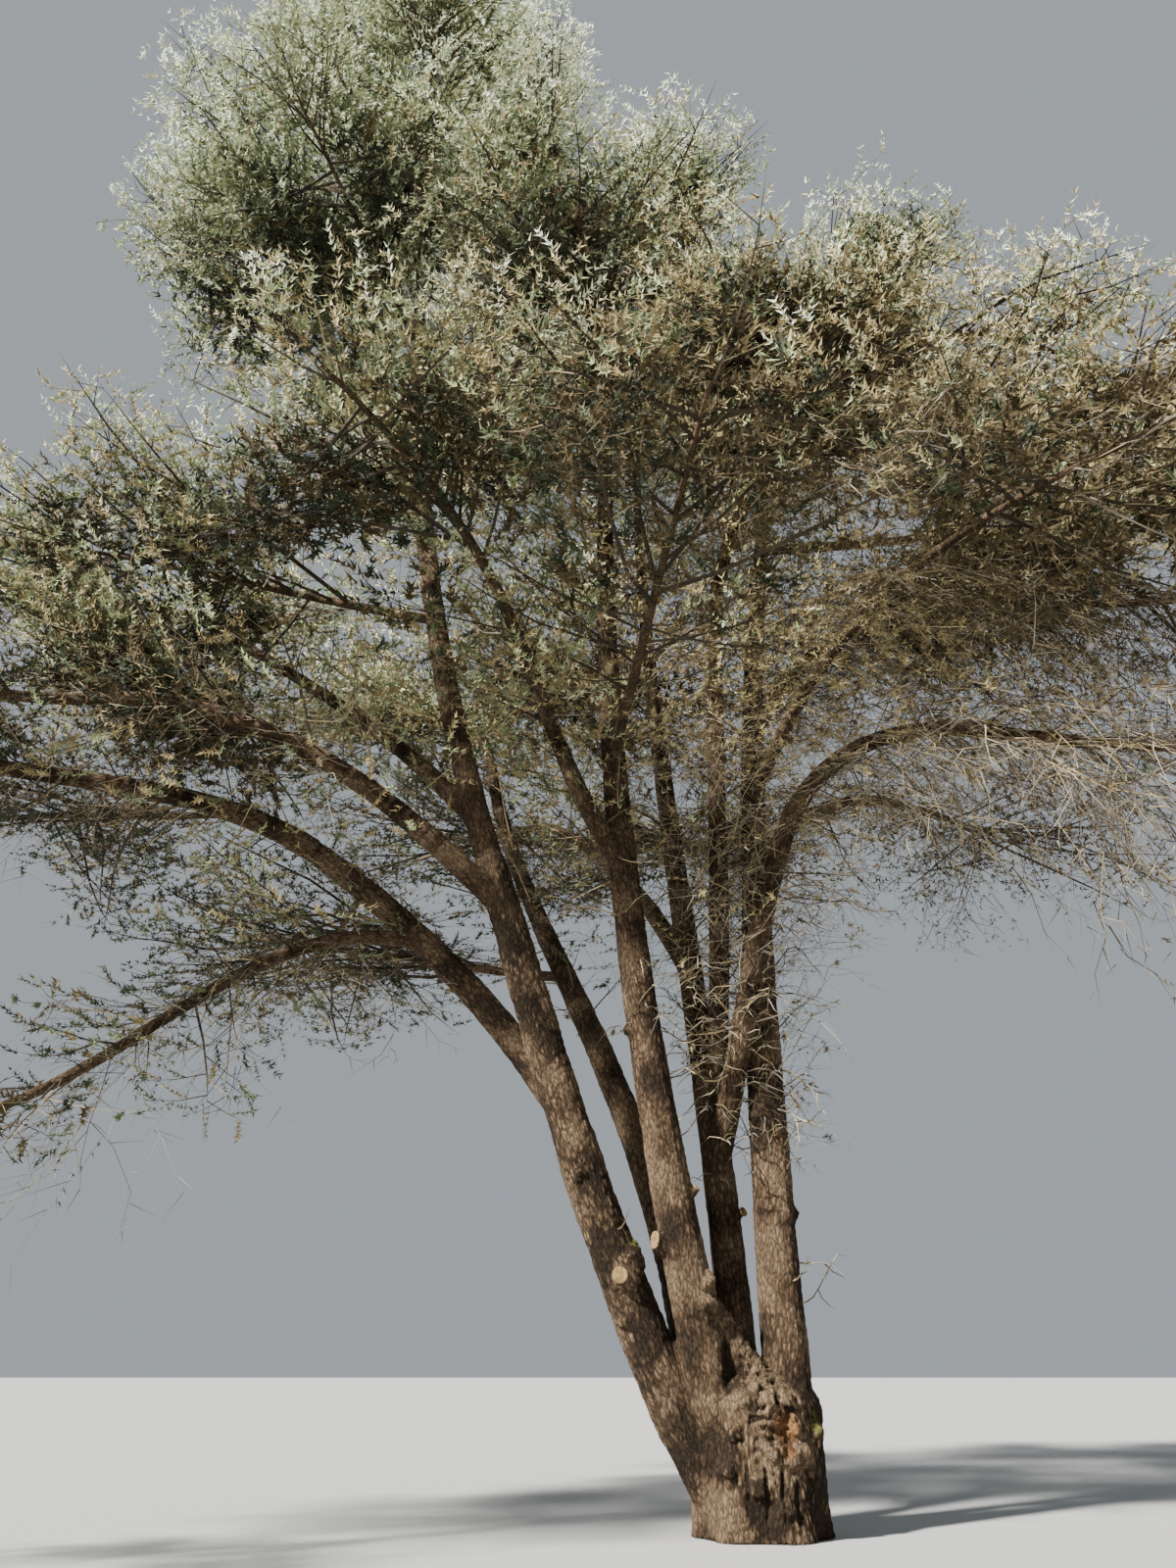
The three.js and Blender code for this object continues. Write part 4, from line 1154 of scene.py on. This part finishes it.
# %% Curling shoots
# Each: the limb, the share of its length, heading and rise in degrees, length, and how it bends.
CURLING = [
    ("stem_right", 0.055, 330, 20, 0.55, 0.5), ("stem_right", 0.07, 300, 5, 0.4, 0.6),
    ("stem_right", 0.085, 350, -10, 0.6, -0.3), ("stem_right", 0.12, 250, 10, 0.5, 0.5),
    ("stem_right", 0.13, 320, 30, 0.7, -0.5), ("stem_right", 0.15, 230, -5, 0.45, 0.4),
    ("stem_centre", 0.16, 240, 10, 0.5, -0.4), ("stem_centre", 0.2, 300, 0, 0.6, 0.4),
    ("stem_middle", 0.15, 330, 15, 0.4, 0.5), ("stem_left", 0.3, 300, 10, 0.35, 0.4),
]
# Further up there are more: the shares of the limb's length between which they stand, how many, and the
# length of the longest. On the boughs they set off outward and down.
MORE_CURLING = {
    "stem_right": (0.14, 0.52, 84, 1.6), "stem_centre": (0.2, 0.46, 26, 1.6),
    "stem_centre_right": (0.02, 0.95, 66, 1.6), "stem_middle": (0.18, 0.36, 7, 1.3),
    "stem_leaning_right": (0.2, 1.0, 30, 1.8), "bough_right_middle": (0.04, 0.9, 110, 2.4),
    "bough_right_low": (0.02, 0.95, 76, 2.4),
}
for on, (first, last, count, longest) in MORE_CURLING.items():
    hangs = on.startswith("bough")
    for k in range(count):
        at = mix(first, last, (k + share(k, 1)) / count)
        heading = mix(270, 370, chance(k, 2 + count)) if hangs else mix(190, 350, chance(k, 2 + count))
        rise = mix(-60, 10, chance(k, 3 + count)) if hangs else mix(-25, 25, chance(k, 3 + count))
        length = mix(0.3, longest, chance(k, 4 + count) ** (1.2 if hangs else 2))
        CURLING.append((on, at, heading, rise, length, mix(0.7, -0.6, chance(k, 5 + count))))


def curling_shoots():
    rows = []
    for on, at, heading, rise, length, bend in CURLING:
        way = directions(heading, rise)
        root = lines[on].point(at) + way * 0.9 * lines[on].thick(at)
        rows.append(dict(
            root=root, way=way, normal=level_normal(way), bend=bend, kink=heading, length=length,
            thick=0.012, mass=0, dry=1.0, tint=0.9,
        ))
    return Twigs(**{field: np.array([row[field] for row in rows]) for field in FIELDS})


CURLING_SIDE = dict(zip(COLUMNS, (0.1, (0.2, 0.95), 50, (0.4, 0.2), 0.7, (0, -0.4))))
curling = shortened(curling_shoots())
curling_side = boxed(side_twigs(curling, **CURLING_SIDE, seed=7))
print(len(curling), "curling shoots with", len(curling_side), "side shoots")

# %% [markdown]
# Each twig is a three-sided spike along its curve, closed at its foot. All of them go into a few joined
# meshes that are filled from arrays, because a separate object for each would be far too many.

# %% Twigs as one mesh
SPIKE_SIDES = 3


def spikes(group, rings):
    """Corners and faces of a spike along each twig, with that many rings before its tip."""
    n = len(group)
    rows = []
    for ring in range(rings):
        t = np.full(n, ring / rings)
        course = group.course(t)
        square = unit(np.cross(course, group.normal))
        r = (group.thick * mix(1.0, 0.25, ring / rings))[:, None]
        for side in range(SPIKE_SIDES):
            angle = np.full(n, 2 * math.pi * side / SPIKE_SIDES)
            rows.append(group.point(t) + rolled(square, course, angle) * r)
    rows.append(group.point(np.ones(n)))
    faces = [(2, 1, 0)]
    for ring in range(rings - 1):
        for side in range(SPIKE_SIDES):
            a, b = ring * SPIKE_SIDES + side, ring * SPIKE_SIDES + (side + 1) % SPIKE_SIDES
            faces += [(a, b, b + SPIKE_SIDES), (a, b + SPIKE_SIDES, a + SPIKE_SIDES)]
    last = (rings - 1) * SPIKE_SIDES
    for side in range(SPIKE_SIDES):
        faces.append((last + side, last + (side + 1) % SPIKE_SIDES, len(rows) - 1))
    starts = np.arange(n)[:, None, None] * len(rows)
    return np.stack(rows, axis=1).reshape(-1, 3), (starts + np.array(faces)).reshape(-1, 3)


print("a twig with four rings has", len(spikes(twigs.pick([0]), 4)[1]), "triangles")

# %% [markdown]
# A mesh can be filled from arrays at one stroke: first all corners, then for each triangle its three
# corners and the number of its material.

# %% A mesh from arrays


def mesh_of(name, parts, materials):
    """One mesh from parts of corners, triangles and the number of the material of each triangle."""
    points = np.concatenate([part[0] for part in parts])
    shifts = np.cumsum([0] + [len(part[0]) for part in parts[:-1]])
    faces = np.concatenate([part[1] + shift for part, shift in zip(parts, shifts)])
    kinds = np.concatenate([part[2] for part in parts])
    mesh = bpy.data.meshes.new(name)
    mesh.vertices.add(len(points))
    mesh.vertices.foreach_set("co", points.astype(np.float32).ravel())
    mesh.loops.add(faces.size)
    mesh.loops.foreach_set("vertex_index", faces.astype(np.int32).ravel())
    mesh.polygons.add(len(faces))
    mesh.polygons.foreach_set("loop_start", np.arange(0, faces.size, 3, dtype=np.int32))
    for material in materials:
        mesh.materials.append(material)
    mesh.polygons.foreach_set("material_index", kinds.astype(np.int32))
    mesh.update(calc_edges=True)
    return mesh


# %% [markdown]
# A finish is a small net of nodes that ends in one shader. Noise and Voronoi give patterns, a ramp turns a
# pattern into colours, and a mix lays one colour over another. One short helper for each kind of node keeps
# the finishes below easy to read.

# %% Helpers for finishes
def new_finish(name):
    """An empty material with its nodes and its shader."""
    material = bpy.data.materials.new(name)
    material.use_nodes = True
    nodes = material.node_tree.nodes
    return material, nodes, material.node_tree.links, nodes["Principled BSDF"]


def colour(red, green, blue):
    """A colour as picked from a screen, from 0 to 255, as a shader wants it."""
    shades = [value / 255 for value in (red, green, blue)]
    return tuple(v / 12.92 if v <= 0.04045 else ((v + 0.055) / 1.055) ** 2.4 for v in shades) + (1,)


def add_noise(nodes, links, place, scale, detail=3.0, rough=0.55):
    node = nodes.new("ShaderNodeTexNoise")
    node.inputs["Scale"].default_value = scale
    node.inputs["Detail"].default_value = detail
    node.inputs["Roughness"].default_value = rough
    links.new(place, node.inputs["Vector"])
    return node.outputs["Fac"]


def add_ramp(nodes, links, value, stops):
    node = nodes.new("ShaderNodeValToRGB")
    ramp = node.color_ramp
    while len(ramp.elements) < len(stops):
        ramp.elements.new(0.5)
    for element, (position, shade) in zip(ramp.elements, stops):
        element.position = position
        element.color = shade
    links.new(value, node.inputs["Fac"])
    return node.outputs["Color"]


def add_mix(nodes, links, factor, first, second, blend="MIX"):
    node = nodes.new("ShaderNodeMix")
    node.data_type = "RGBA"
    node.blend_type = blend
    sockets = (node.inputs["Factor"], node.inputs[6], node.inputs[7])
    for socket, value in zip(sockets, (factor, first, second)):
        if isinstance(value, bpy.types.NodeSocket):
            links.new(value, socket)
        else:
            socket.default_value = value
    return node.outputs[2]


def add_attribute(nodes, name, output):
    node = nodes.new("ShaderNodeAttribute")
    node.attribute_name = name
    return node.outputs[output]


def add_math(nodes, links, operation, first, second):
    node = nodes.new("ShaderNodeMath")
    node.operation = operation
    for socket, value in zip(node.inputs, (first, second)):
        if isinstance(value, bpy.types.NodeSocket):
            links.new(value, socket)
        else:
            socket.default_value = value
    return node.outputs["Value"]


print("a screen's middle grey is", round(colour(128, 128, 128)[0], 3), "for a shader")

# %% [markdown]
# Bark is never one colour. Its cracks are dark, its plates pinkish grey-brown and weathered pale on their
# edges, and yellow-green moss sits where it stays damp. The pattern reads the grain that was kept on the
# mesh, so it runs along every limb. The relief that was raised is kept there too, and paints shade into the
# cracks, the wound and the hollows: the deeper a corner lies, the darker it is painted.
# Moss and healed wounds are masks that are kept on the corners, so they stay where they belong. A bump adds
# the fine flakes that are too small to model.

# %% Bark finish
# Moss and healed wounds: where each patch is and how far it reaches.
MOSS = [
    ((-1.44, -0.28, 2.95), 0.26), ((0.66, -0.40, 1.10), 0.26), ((0.78, -0.30, 0.30), 0.28),
    ((-2.2, -0.3, 4.3), 0.25), ((-2.75, 0.30, 5.6), 0.3),
]
WOUNDS = [((0.256, -0.60, 1.07), 0.15), ((0.24, -0.62, 0.86), 0.08), ((-1.20, -0.30, 2.2), 0.06)]


def patches_near(points, patches):
    """1 in the middle of each patch, running out to 0 at its reach."""
    strength = np.zeros(len(points))
    for place, reach in patches:
        near = np.linalg.norm(points - np.array(place), axis=1) / reach
        strength = np.maximum(strength, np.clip(1.3 - near, 0, 1))
    return strength


def bark_finish():
    material, nodes, links, shader = new_finish("bark")
    shader.inputs["Roughness"].default_value = 0.95
    shader.inputs["Specular IOR Level"].default_value = 0.12
    place = add_attribute(nodes, "grain", "Vector")
    plates = nodes.new("ShaderNodeTexVoronoi")
    plates.feature = "DISTANCE_TO_EDGE"
    plates.inputs["Scale"].default_value = 25
    bent = nodes.new("ShaderNodeVectorMath")
    bent.operation = "MULTIPLY_ADD"
    wander = nodes.new("ShaderNodeTexNoise")
    wander.inputs["Scale"].default_value = 14
    links.new(place, wander.inputs["Vector"])
    links.new(wander.outputs["Color"], bent.inputs[0])
    bent.inputs[1].default_value = (0.05, 0.05, 0.05)
    links.new(place, bent.inputs[2])
    links.new(bent.outputs["Vector"], plates.inputs["Vector"])
    flakes = add_noise(nodes, links, place, 62, 5, 0.75)
    blotches = add_noise(nodes, links, place, 4, 4, 0.6)
    cracks = add_ramp(nodes, links, plates.outputs["Distance"], [
        (0.0, colour(30, 24, 18)), (0.09, colour(80, 69, 56)), (0.26, colour(130, 115, 96)),
    ])
    flaky = add_ramp(nodes, links, flakes, [
        (0.32, colour(58, 49, 39)), (0.5, colour(108, 95, 79)), (0.68, colour(176, 160, 138)),
    ])
    base = add_mix(nodes, links, 0.45, cracks, flaky)
    relief = add_attribute(nodes, "relief", "Fac")
    # Painted shade: the relief darkens the bark the deeper it lies, in the cracks, the wound and the
    # hollows.
    deep = add_ramp(nodes, links, add_math(nodes, links, "ADD", relief, PLATE_LEVEL), [
        (0.08, colour(58, 48, 39)), (0.42, colour(168, 156, 144)), (0.75, colour(255, 251, 246)),
    ])
    base = add_mix(nodes, links, 0.85, base, deep, "MULTIPLY")
    tone = add_ramp(nodes, links, blotches, [
        (0.34, colour(184, 174, 164)), (0.5, colour(230, 221, 212)), (0.66, colour(255, 246, 235)),
    ])
    base = add_mix(nodes, links, 0.9, base, tone, "MULTIPLY")
    wound = add_ramp(nodes, links, flakes, [(0.35, colour(84, 58, 38)), (0.65, colour(160, 116, 76))])
    base = add_mix(nodes, links, add_attribute(nodes, "wound", "Fac"), base, wound)
    moss = add_ramp(nodes, links, flakes, [(0.35, colour(84, 86, 38)), (0.6, colour(130, 130, 66))])
    broken = add_noise(nodes, links, place, 26, 4, 0.75)
    damp = add_math(nodes, links, "MULTIPLY", add_attribute(nodes, "moss", "Fac"), broken)
    damp = add_ramp(nodes, links, damp, [(0.36, (0, 0, 0, 1)), (0.56, (0.85, 0.85, 0.85, 1))])
    base = add_mix(nodes, links, damp, base, moss)
    links.new(base, shader.inputs["Base Color"])
    bump = nodes.new("ShaderNodeBump")
    bump.inputs["Strength"].default_value = 0.9
    bump.inputs["Distance"].default_value = 0.03
    height = add_math(nodes, links, "ADD", plates.outputs["Distance"], flakes)
    links.new(height, bump.inputs["Height"])
    links.new(bump.outputs["Normal"], shader.inputs["Normal"])
    return material


BARK = bark_finish()
for piece in low_pieces:
    points = corners(piece.data)
    put_attribute(piece.data, "moss", patches_near(points, MOSS))
    put_attribute(piece.data, "wound", patches_near(points, WOUNDS))
for piece in low_pieces + list(LIMB_PIECES.values()):
    piece.data.materials.append(BARK)
print("the bark's finish has", len(BARK.node_tree.nodes), "nodes")

# %% [markdown]
# Sawn faces are bare wood, paler and warmer than the bark. Their rings run round the pith, so the finish
# reads how far each corner is from it, and a weathered grey lies over them in blotches.

# %% Sawn wood finish
def sawn_finish():
    material, nodes, links, shader = new_finish("sawn_wood")
    shader.inputs["Roughness"].default_value = 0.9
    shader.inputs["Specular IOR Level"].default_value = 0.15
    rings = add_noise(nodes, links, add_attribute(nodes, "from_pith", "Vector"), 130, 2, 0.6)
    wood = add_ramp(nodes, links, rings, [(0.35, colour(108, 86, 58)), (0.65, colour(160, 136, 98))])
    weather = add_noise(nodes, links, nodes.new("ShaderNodeTexCoord").outputs["Object"], 16, 5, 0.7)
    grey = add_ramp(nodes, links, weather, [(0.38, colour(150, 140, 126)), (0.6, colour(255, 250, 240))])
    links.new(add_mix(nodes, links, 0.8, wood, grey, "MULTIPLY"), shader.inputs["Base Color"])
    return material


SAWN_WOOD = sawn_finish()
sawn.data.materials.append(SAWN_WOOD)
print("the sawn wood's finish has", len(SAWN_WOOD.node_tree.nodes), "nodes")

# %% [markdown]
# Needles are pale sage where the light reaches them and dark olive underneath, and on dry twigs they turn
# umber, tan and straw. That light and shade is painted into their tints. Each tint is a material of its own
# with plain base colours, and every spray takes one of them: the cool ones run from painted shade to a
# painted highlight, and so do the warm ones from umber to straw. A slow noise in each tint keeps any two
# sprays from looking the same.

# %% Needle and twig finishes
def plant_finish(name, dark, pale, rough):
    material, nodes, links, shader = new_finish(name)
    shader.inputs["Roughness"].default_value = rough
    shader.inputs["Specular IOR Level"].default_value = 0.25
    place = nodes.new("ShaderNodeTexCoord").outputs["Object"]
    blotches = add_noise(nodes, links, place, 2.3, 4, 0.6)
    shade = add_ramp(nodes, links, blotches, [(0.35, dark), (0.65, pale)])
    links.new(shade, shader.inputs["Base Color"])
    return material


# Lit and shaded copies: shade to pale and umber to straw each run from painted shade to painted highlight.
NEEDLE_TINTS = [
    plant_finish("needles_shade", colour(40, 46, 30), colour(56, 62, 42), 0.75),
    plant_finish("needles_deep", colour(80, 88, 58), colour(106, 114, 82), 0.7),
    plant_finish("needles_olive", colour(138, 147, 104), colour(164, 172, 130), 0.65),
    plant_finish("needles_sage", colour(186, 196, 158), colour(210, 218, 184), 0.6),
    plant_finish("needles_pale", colour(226, 234, 206), colour(245, 250, 232), 0.6),
    plant_finish("needles_umber", colour(62, 53, 33), colour(86, 74, 48), 0.8),
    plant_finish("needles_tan", colour(124, 112, 76), colour(154, 140, 100), 0.8),
    plant_finish("needles_straw", colour(182, 170, 128), colour(208, 197, 158), 0.75),
]
TWIG_TINTS = [
    plant_finish("twigs_dark", colour(46, 39, 30), colour(68, 59, 46), 0.9),
    plant_finish("twigs_grey", colour(98, 90, 77), colour(160, 150, 132), 0.9),
    plant_finish("twigs_golden", colour(108, 94, 68), colour(168, 151, 116), 0.85),
]
print(len(NEEDLE_TINTS), "needle tints and", len(TWIG_TINTS), "twig tints")

# %% [markdown]
# Now the twigs are made. Living ones are dark or golden, dead ones dark, grey or golden, dealt out twig by
# twig, and thick ones are always dark. Each region of the tree is one piece, because a single mesh would
# be too large. Dead twigs are more crooked and get one ring more.

# %% Join the twigs
THICK_TWIG = 0.019  # radius from which a twig has dark bark


def twig_tints(group):
    """The number of the twig finish of each twig."""
    n = np.arange(len(group))
    dead_kind = np.clip(3.4 * share(n, 9) - 0.4, 0, 2).astype(int)
    live_kind = np.where(share(n, 8) < 0.75, 0, 2)
    return np.where(group.thick > THICK_TWIG, 0, np.where(group.dry > 0.5, dead_kind, live_kind))


def twig_part(group, rings):
    points, faces = spikes(group, rings)
    return points, faces, np.repeat(twig_tints(group), len(faces) // max(1, len(group)))


def in_region(group, region):
    return group.pick(Space.region[group.mass] == region)


REGIONS = ("top", "heart", "left", "back", "right")
GROWN = ((twigs, 4), (branchlets, 2), (shoots, 1), (inner, 3), (inner_side, 2), (inner_tips, 1))
twig_count = 0
for region in REGIONS:
    parts = []
    for group, rings in GROWN:
        here = in_region(group, region)
        parts.append(twig_part(here.pick(here.dry < 0.5), rings))
        parts.append(twig_part(here.pick(here.dry > 0.5), rings if rings == 1 else rings + 1))
    mesh = mesh_of("twigs_" + region, parts, TWIG_TINTS)
    piece = add_piece("twigs_" + region, mesh, smooth=False)
    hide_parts(*["foliage_" + row[0] for row in MASSES if row[6] == region])
    twig_count += len(mesh.polygons)
    print(piece.name, len(mesh.polygons))
mesh = mesh_of("twigs_curling", [twig_part(curling, 6), twig_part(curling_side, 3)], TWIG_TINTS)
curling_piece = add_piece("twigs_curling", mesh, smooth=False)
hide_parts(*{row[0]: None for row in CURLING})
twig_count += len(curling_piece.data.polygons)
print("twigs:", twig_count, "triangles")

# %% [markdown]
# Through the middle of each mass runs the branch that its twigs stand on. These are rods like the limbs,
# joined into one piece, and carry the same bark.

# %% Stems of the masses
mass_wood = joined([rod(line, 0, 1, sides=8, step=0.12) for line in mass_stems])
put_attribute(mass_wood, "grain", corners(mass_wood) * (1, 1, ALONG_SHORT))
stems_piece = add_piece("foliage_stems", mass_wood)
stems_piece.data.materials.append(BARK)
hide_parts(*["foliage_" + row[0] for row in MASSES])
print("the stems of the masses have", len(mass_wood.polygons), "faces")

# %% [markdown]
# A needle is a narrow triangle. The real ones are 2 to 3 cm long and sit in rosettes, thousands on each
# shoot. Here each stands for a tuft of them, so it is longer and wider. They stand in rosettes of four
# that point forward and out from the shoot, each turned on by the golden angle from the one before. Deep
# inside a dense mass they are larger still, and with the dark tints they get there they fill it as a sheet
# of painted shade between the tips.

# %% The rule for needles
NEEDLE_LENGTH = 0.088
NEEDLE_WIDTH = 0.027
ROSETTE = 4  # needles from one point


def needle_size(group, size, inside):
    """How large the needles of each spray are."""
    # Larger needles deep inside a dense mass, which take dark tints, fill it as painted shade.
    deep = np.clip((0.85 - depth_of(group.root, group.mass)) / 0.35, 0, 1)
    grown = np.where(Space.dense[group.mass], mix(1.0, inside, deep), 0.9)
    return size * grown * mix(1.0, 0.85, group.dry)


def needles(group, per, size, inside, span, seed):
    """The three corners of each needle of each shoot, and the number of its finish."""
    of = np.repeat(np.arange(len(group)), per)
    n = np.arange(len(of))
    order = n % per
    shoot = group.pick(of)
    t = mix(*span, (order // ROSETTE + 0.5 + 0.4 * share(n // ROSETTE, seed)) * ROSETTE / per)
    course = shoot.course(t)
    square = unit(np.cross(course, shoot.normal))
    around = rolled(square, course, np.radians(GOLDEN) * order + 6.28 * share(of, seed + 1))
    lean = np.radians(mix(30, 80, share(n, seed + 4)))[:, None]
    way = unit(course * np.cos(lean) + around * np.sin(lean) + 0.25 * UP)
    size = (needle_size(group, size, inside)[of] * mix(0.75, 1.25, share(n, seed + 2)))[:, None]
    flat = unit(np.cross(way, course) + 0.6 * course * (share(n, seed + 3) - 0.5)[:, None])
    foot = shoot.point(t)
    half = flat * NEEDLE_WIDTH / 2 * size
    rows = np.stack((foot - half, foot + half, foot + way * NEEDLE_LENGTH * size), axis=1)
    return rows, needle_tints(group)[of]


print("a needle is", NEEDLE_LENGTH, "m long before its own size is applied")

# %% [markdown]
# Each spray gets one tint. It is paler towards the skin of its mass and at the top of the tree, which is a
# painted highlight, and darker inside, in the open masses and low down, which is painted shade. It is warm
# where the tree is dry. What is left is chance, so that neighbouring sprays differ as they do on the tree.

# %% A tint for each spray


def needle_tints(group):
    """The number of the needle finish of each spray, from its place in its mass and a little chance."""
    n = np.arange(len(group))
    # Painted highlight and shade: paler at the skin of the mass and at the top, darker inside, in open
    # masses and low.
    out = np.minimum(depth_of(group.root, group.mass), 1.15)
    level = group.tint + 0.95 * (out - 0.82) - 0.25 * ~Space.dense[group.mass]
    level = level + np.where(Space.region[group.mass] == "top", 0.28, 0.0)
    level = level - 0.3 * np.clip((13.0 - group.root[:, 2]) / 4.0, 0, 1)
    cool = np.clip(np.round(4 * level), 0, 4).astype(int)
    warm = np.clip(np.round(5 + 2.6 * level - 0.5 * group.dry), 5, 7).astype(int)
    low = np.clip((18.0 - group.root[:, 2]) / 5.0, 0, 1) * mix(0.6, 1.0, Space.dense[group.mass])
    warmth = 0.05 + 0.38 * low + 0.25 * dryness(group.root) + 0.6 * group.dry
    return np.where(share(n, 12) < warmth, warm, cool)


def leafy(group, seed):
    """The twigs that carry needles: most of the living ones, fewer low down, and some of the dry ones."""
    low = np.clip((12.5 - group.root[:, 2]) / 5.0, 0, 1)
    bare = mix(0.4 * low, 0.4 + 0.55 * low, group.dry)
    return group.pick(share(np.arange(len(group)), seed) > bare)


print(len(leafy(shoots, 0)), "of", len(shoots), "shoots of the masses carry needles")

# %% [markdown]
# Now all needles are grown and joined, region by region. Shoots carry them along their whole length and
# branchlets only towards their tips. A region with too many for one mesh is shared out over two.

# %% Grow the needles
LARGEST_PIECE = 190000  # triangles
# For each region: needles on a shoot, needles on a branchlet, their size and how much larger they are
# deep inside.
GROWTH = {
    "top": (14, 8, 1.08, 1.4), "heart": (18, 8, 0.97, 1.7), "left": (22, 8, 0.9, 1.7),
    "back": (11, 4, 1.14, 1.9), "right": (15, 8, 1.0, 1.9),
}
needle_count = 0
for region in REGIONS:
    per_shoot, per_branchlet, size, inside = GROWTH[region]
    parts = []
    for k, group in enumerate((shoots, inner_tips)):
        green = leafy(in_region(group, region), k)
        parts.append(needles(green, per_shoot, size, inside, (0, 1), 13 + k))
    for k, group in enumerate((branchlets, inner_side)):
        green = leafy(in_region(group, region), k)
        parts.append(needles(green, per_branchlet, size, inside, (0.6, 1), 17 + k))
    triangles, tints = (np.concatenate(rows) for rows in zip(*parts))
    pieces = math.ceil(len(tints) / LARGEST_PIECE)
    for k in range(pieces):
        # Each piece takes its share of whole needles.
        some = slice(k * len(tints) // pieces, (k + 1) * len(tints) // pieces)
        corner_rows = triangles[some].reshape(-1, 3)
        faces = np.arange(len(corner_rows)).reshape(-1, 3)
        name = "needles_" + region + ("_%d" % (k + 1) if pieces > 1 else "")
        mesh = mesh_of(name, [(corner_rows, faces, tints[some])], NEEDLE_TINTS)
        piece = add_piece(name, mesh, smooth=False)
        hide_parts(*["foliage_" + row[0] for row in MASSES if row[6] == region])
        print(name, len(faces), "needles")
    needle_count += len(tints)
print("needles:", needle_count)

# %% [markdown]
# The tree stands on a plain pale floor under a plain pale sky, whose light comes from all sides. One warm
# light high on the left, a little in front, does what the low sun does: it picks out the tops of the plates
# and leaves their undersides dark. It is four degrees wide, so the edges of shadows are soft.

# %% Floor and light
FLOOR_HALF = 400.0
floor_bm = bmesh.new()
bmesh.ops.create_grid(floor_bm, x_segments=2, y_segments=2, size=FLOOR_HALF)
floor = bpy.data.objects.new("floor", as_mesh(floor_bm, "floor", outward=False))
bpy.context.scene.collection.objects.link(floor)
floor_finish, _, _, floor_shader = new_finish("floor")
floor_shader.inputs["Base Color"].default_value = (0.36, 0.36, 0.35, 1)
floor_shader.inputs["Roughness"].default_value = 0.9
floor.data.materials.append(floor_finish)

world = bpy.data.worlds.new("sky")
world.use_nodes = True
backdrop = world.node_tree.nodes["Background"]
backdrop.inputs["Color"].default_value = (0.84, 0.92, 1.0, 1)
backdrop.inputs["Strength"].default_value = 0.45
bpy.context.scene.world = world

SUN_FROM = Vector((-0.68, -0.52, 0.68))
sun_data = bpy.data.lights.new("sun", "SUN")
sun_data.energy = 17
sun_data.angle = math.radians(4)
sun_data.color = (1.0, 0.975, 0.93)
sun = bpy.data.objects.new("sun", sun_data)
sun.rotation_euler = SUN_FROM.to_track_quat("Z", "Y").to_euler()
bpy.context.scene.collection.objects.link(sun)
print("the light stands", round(math.degrees(math.asin(SUN_FROM.normalized().z))), "degrees high")
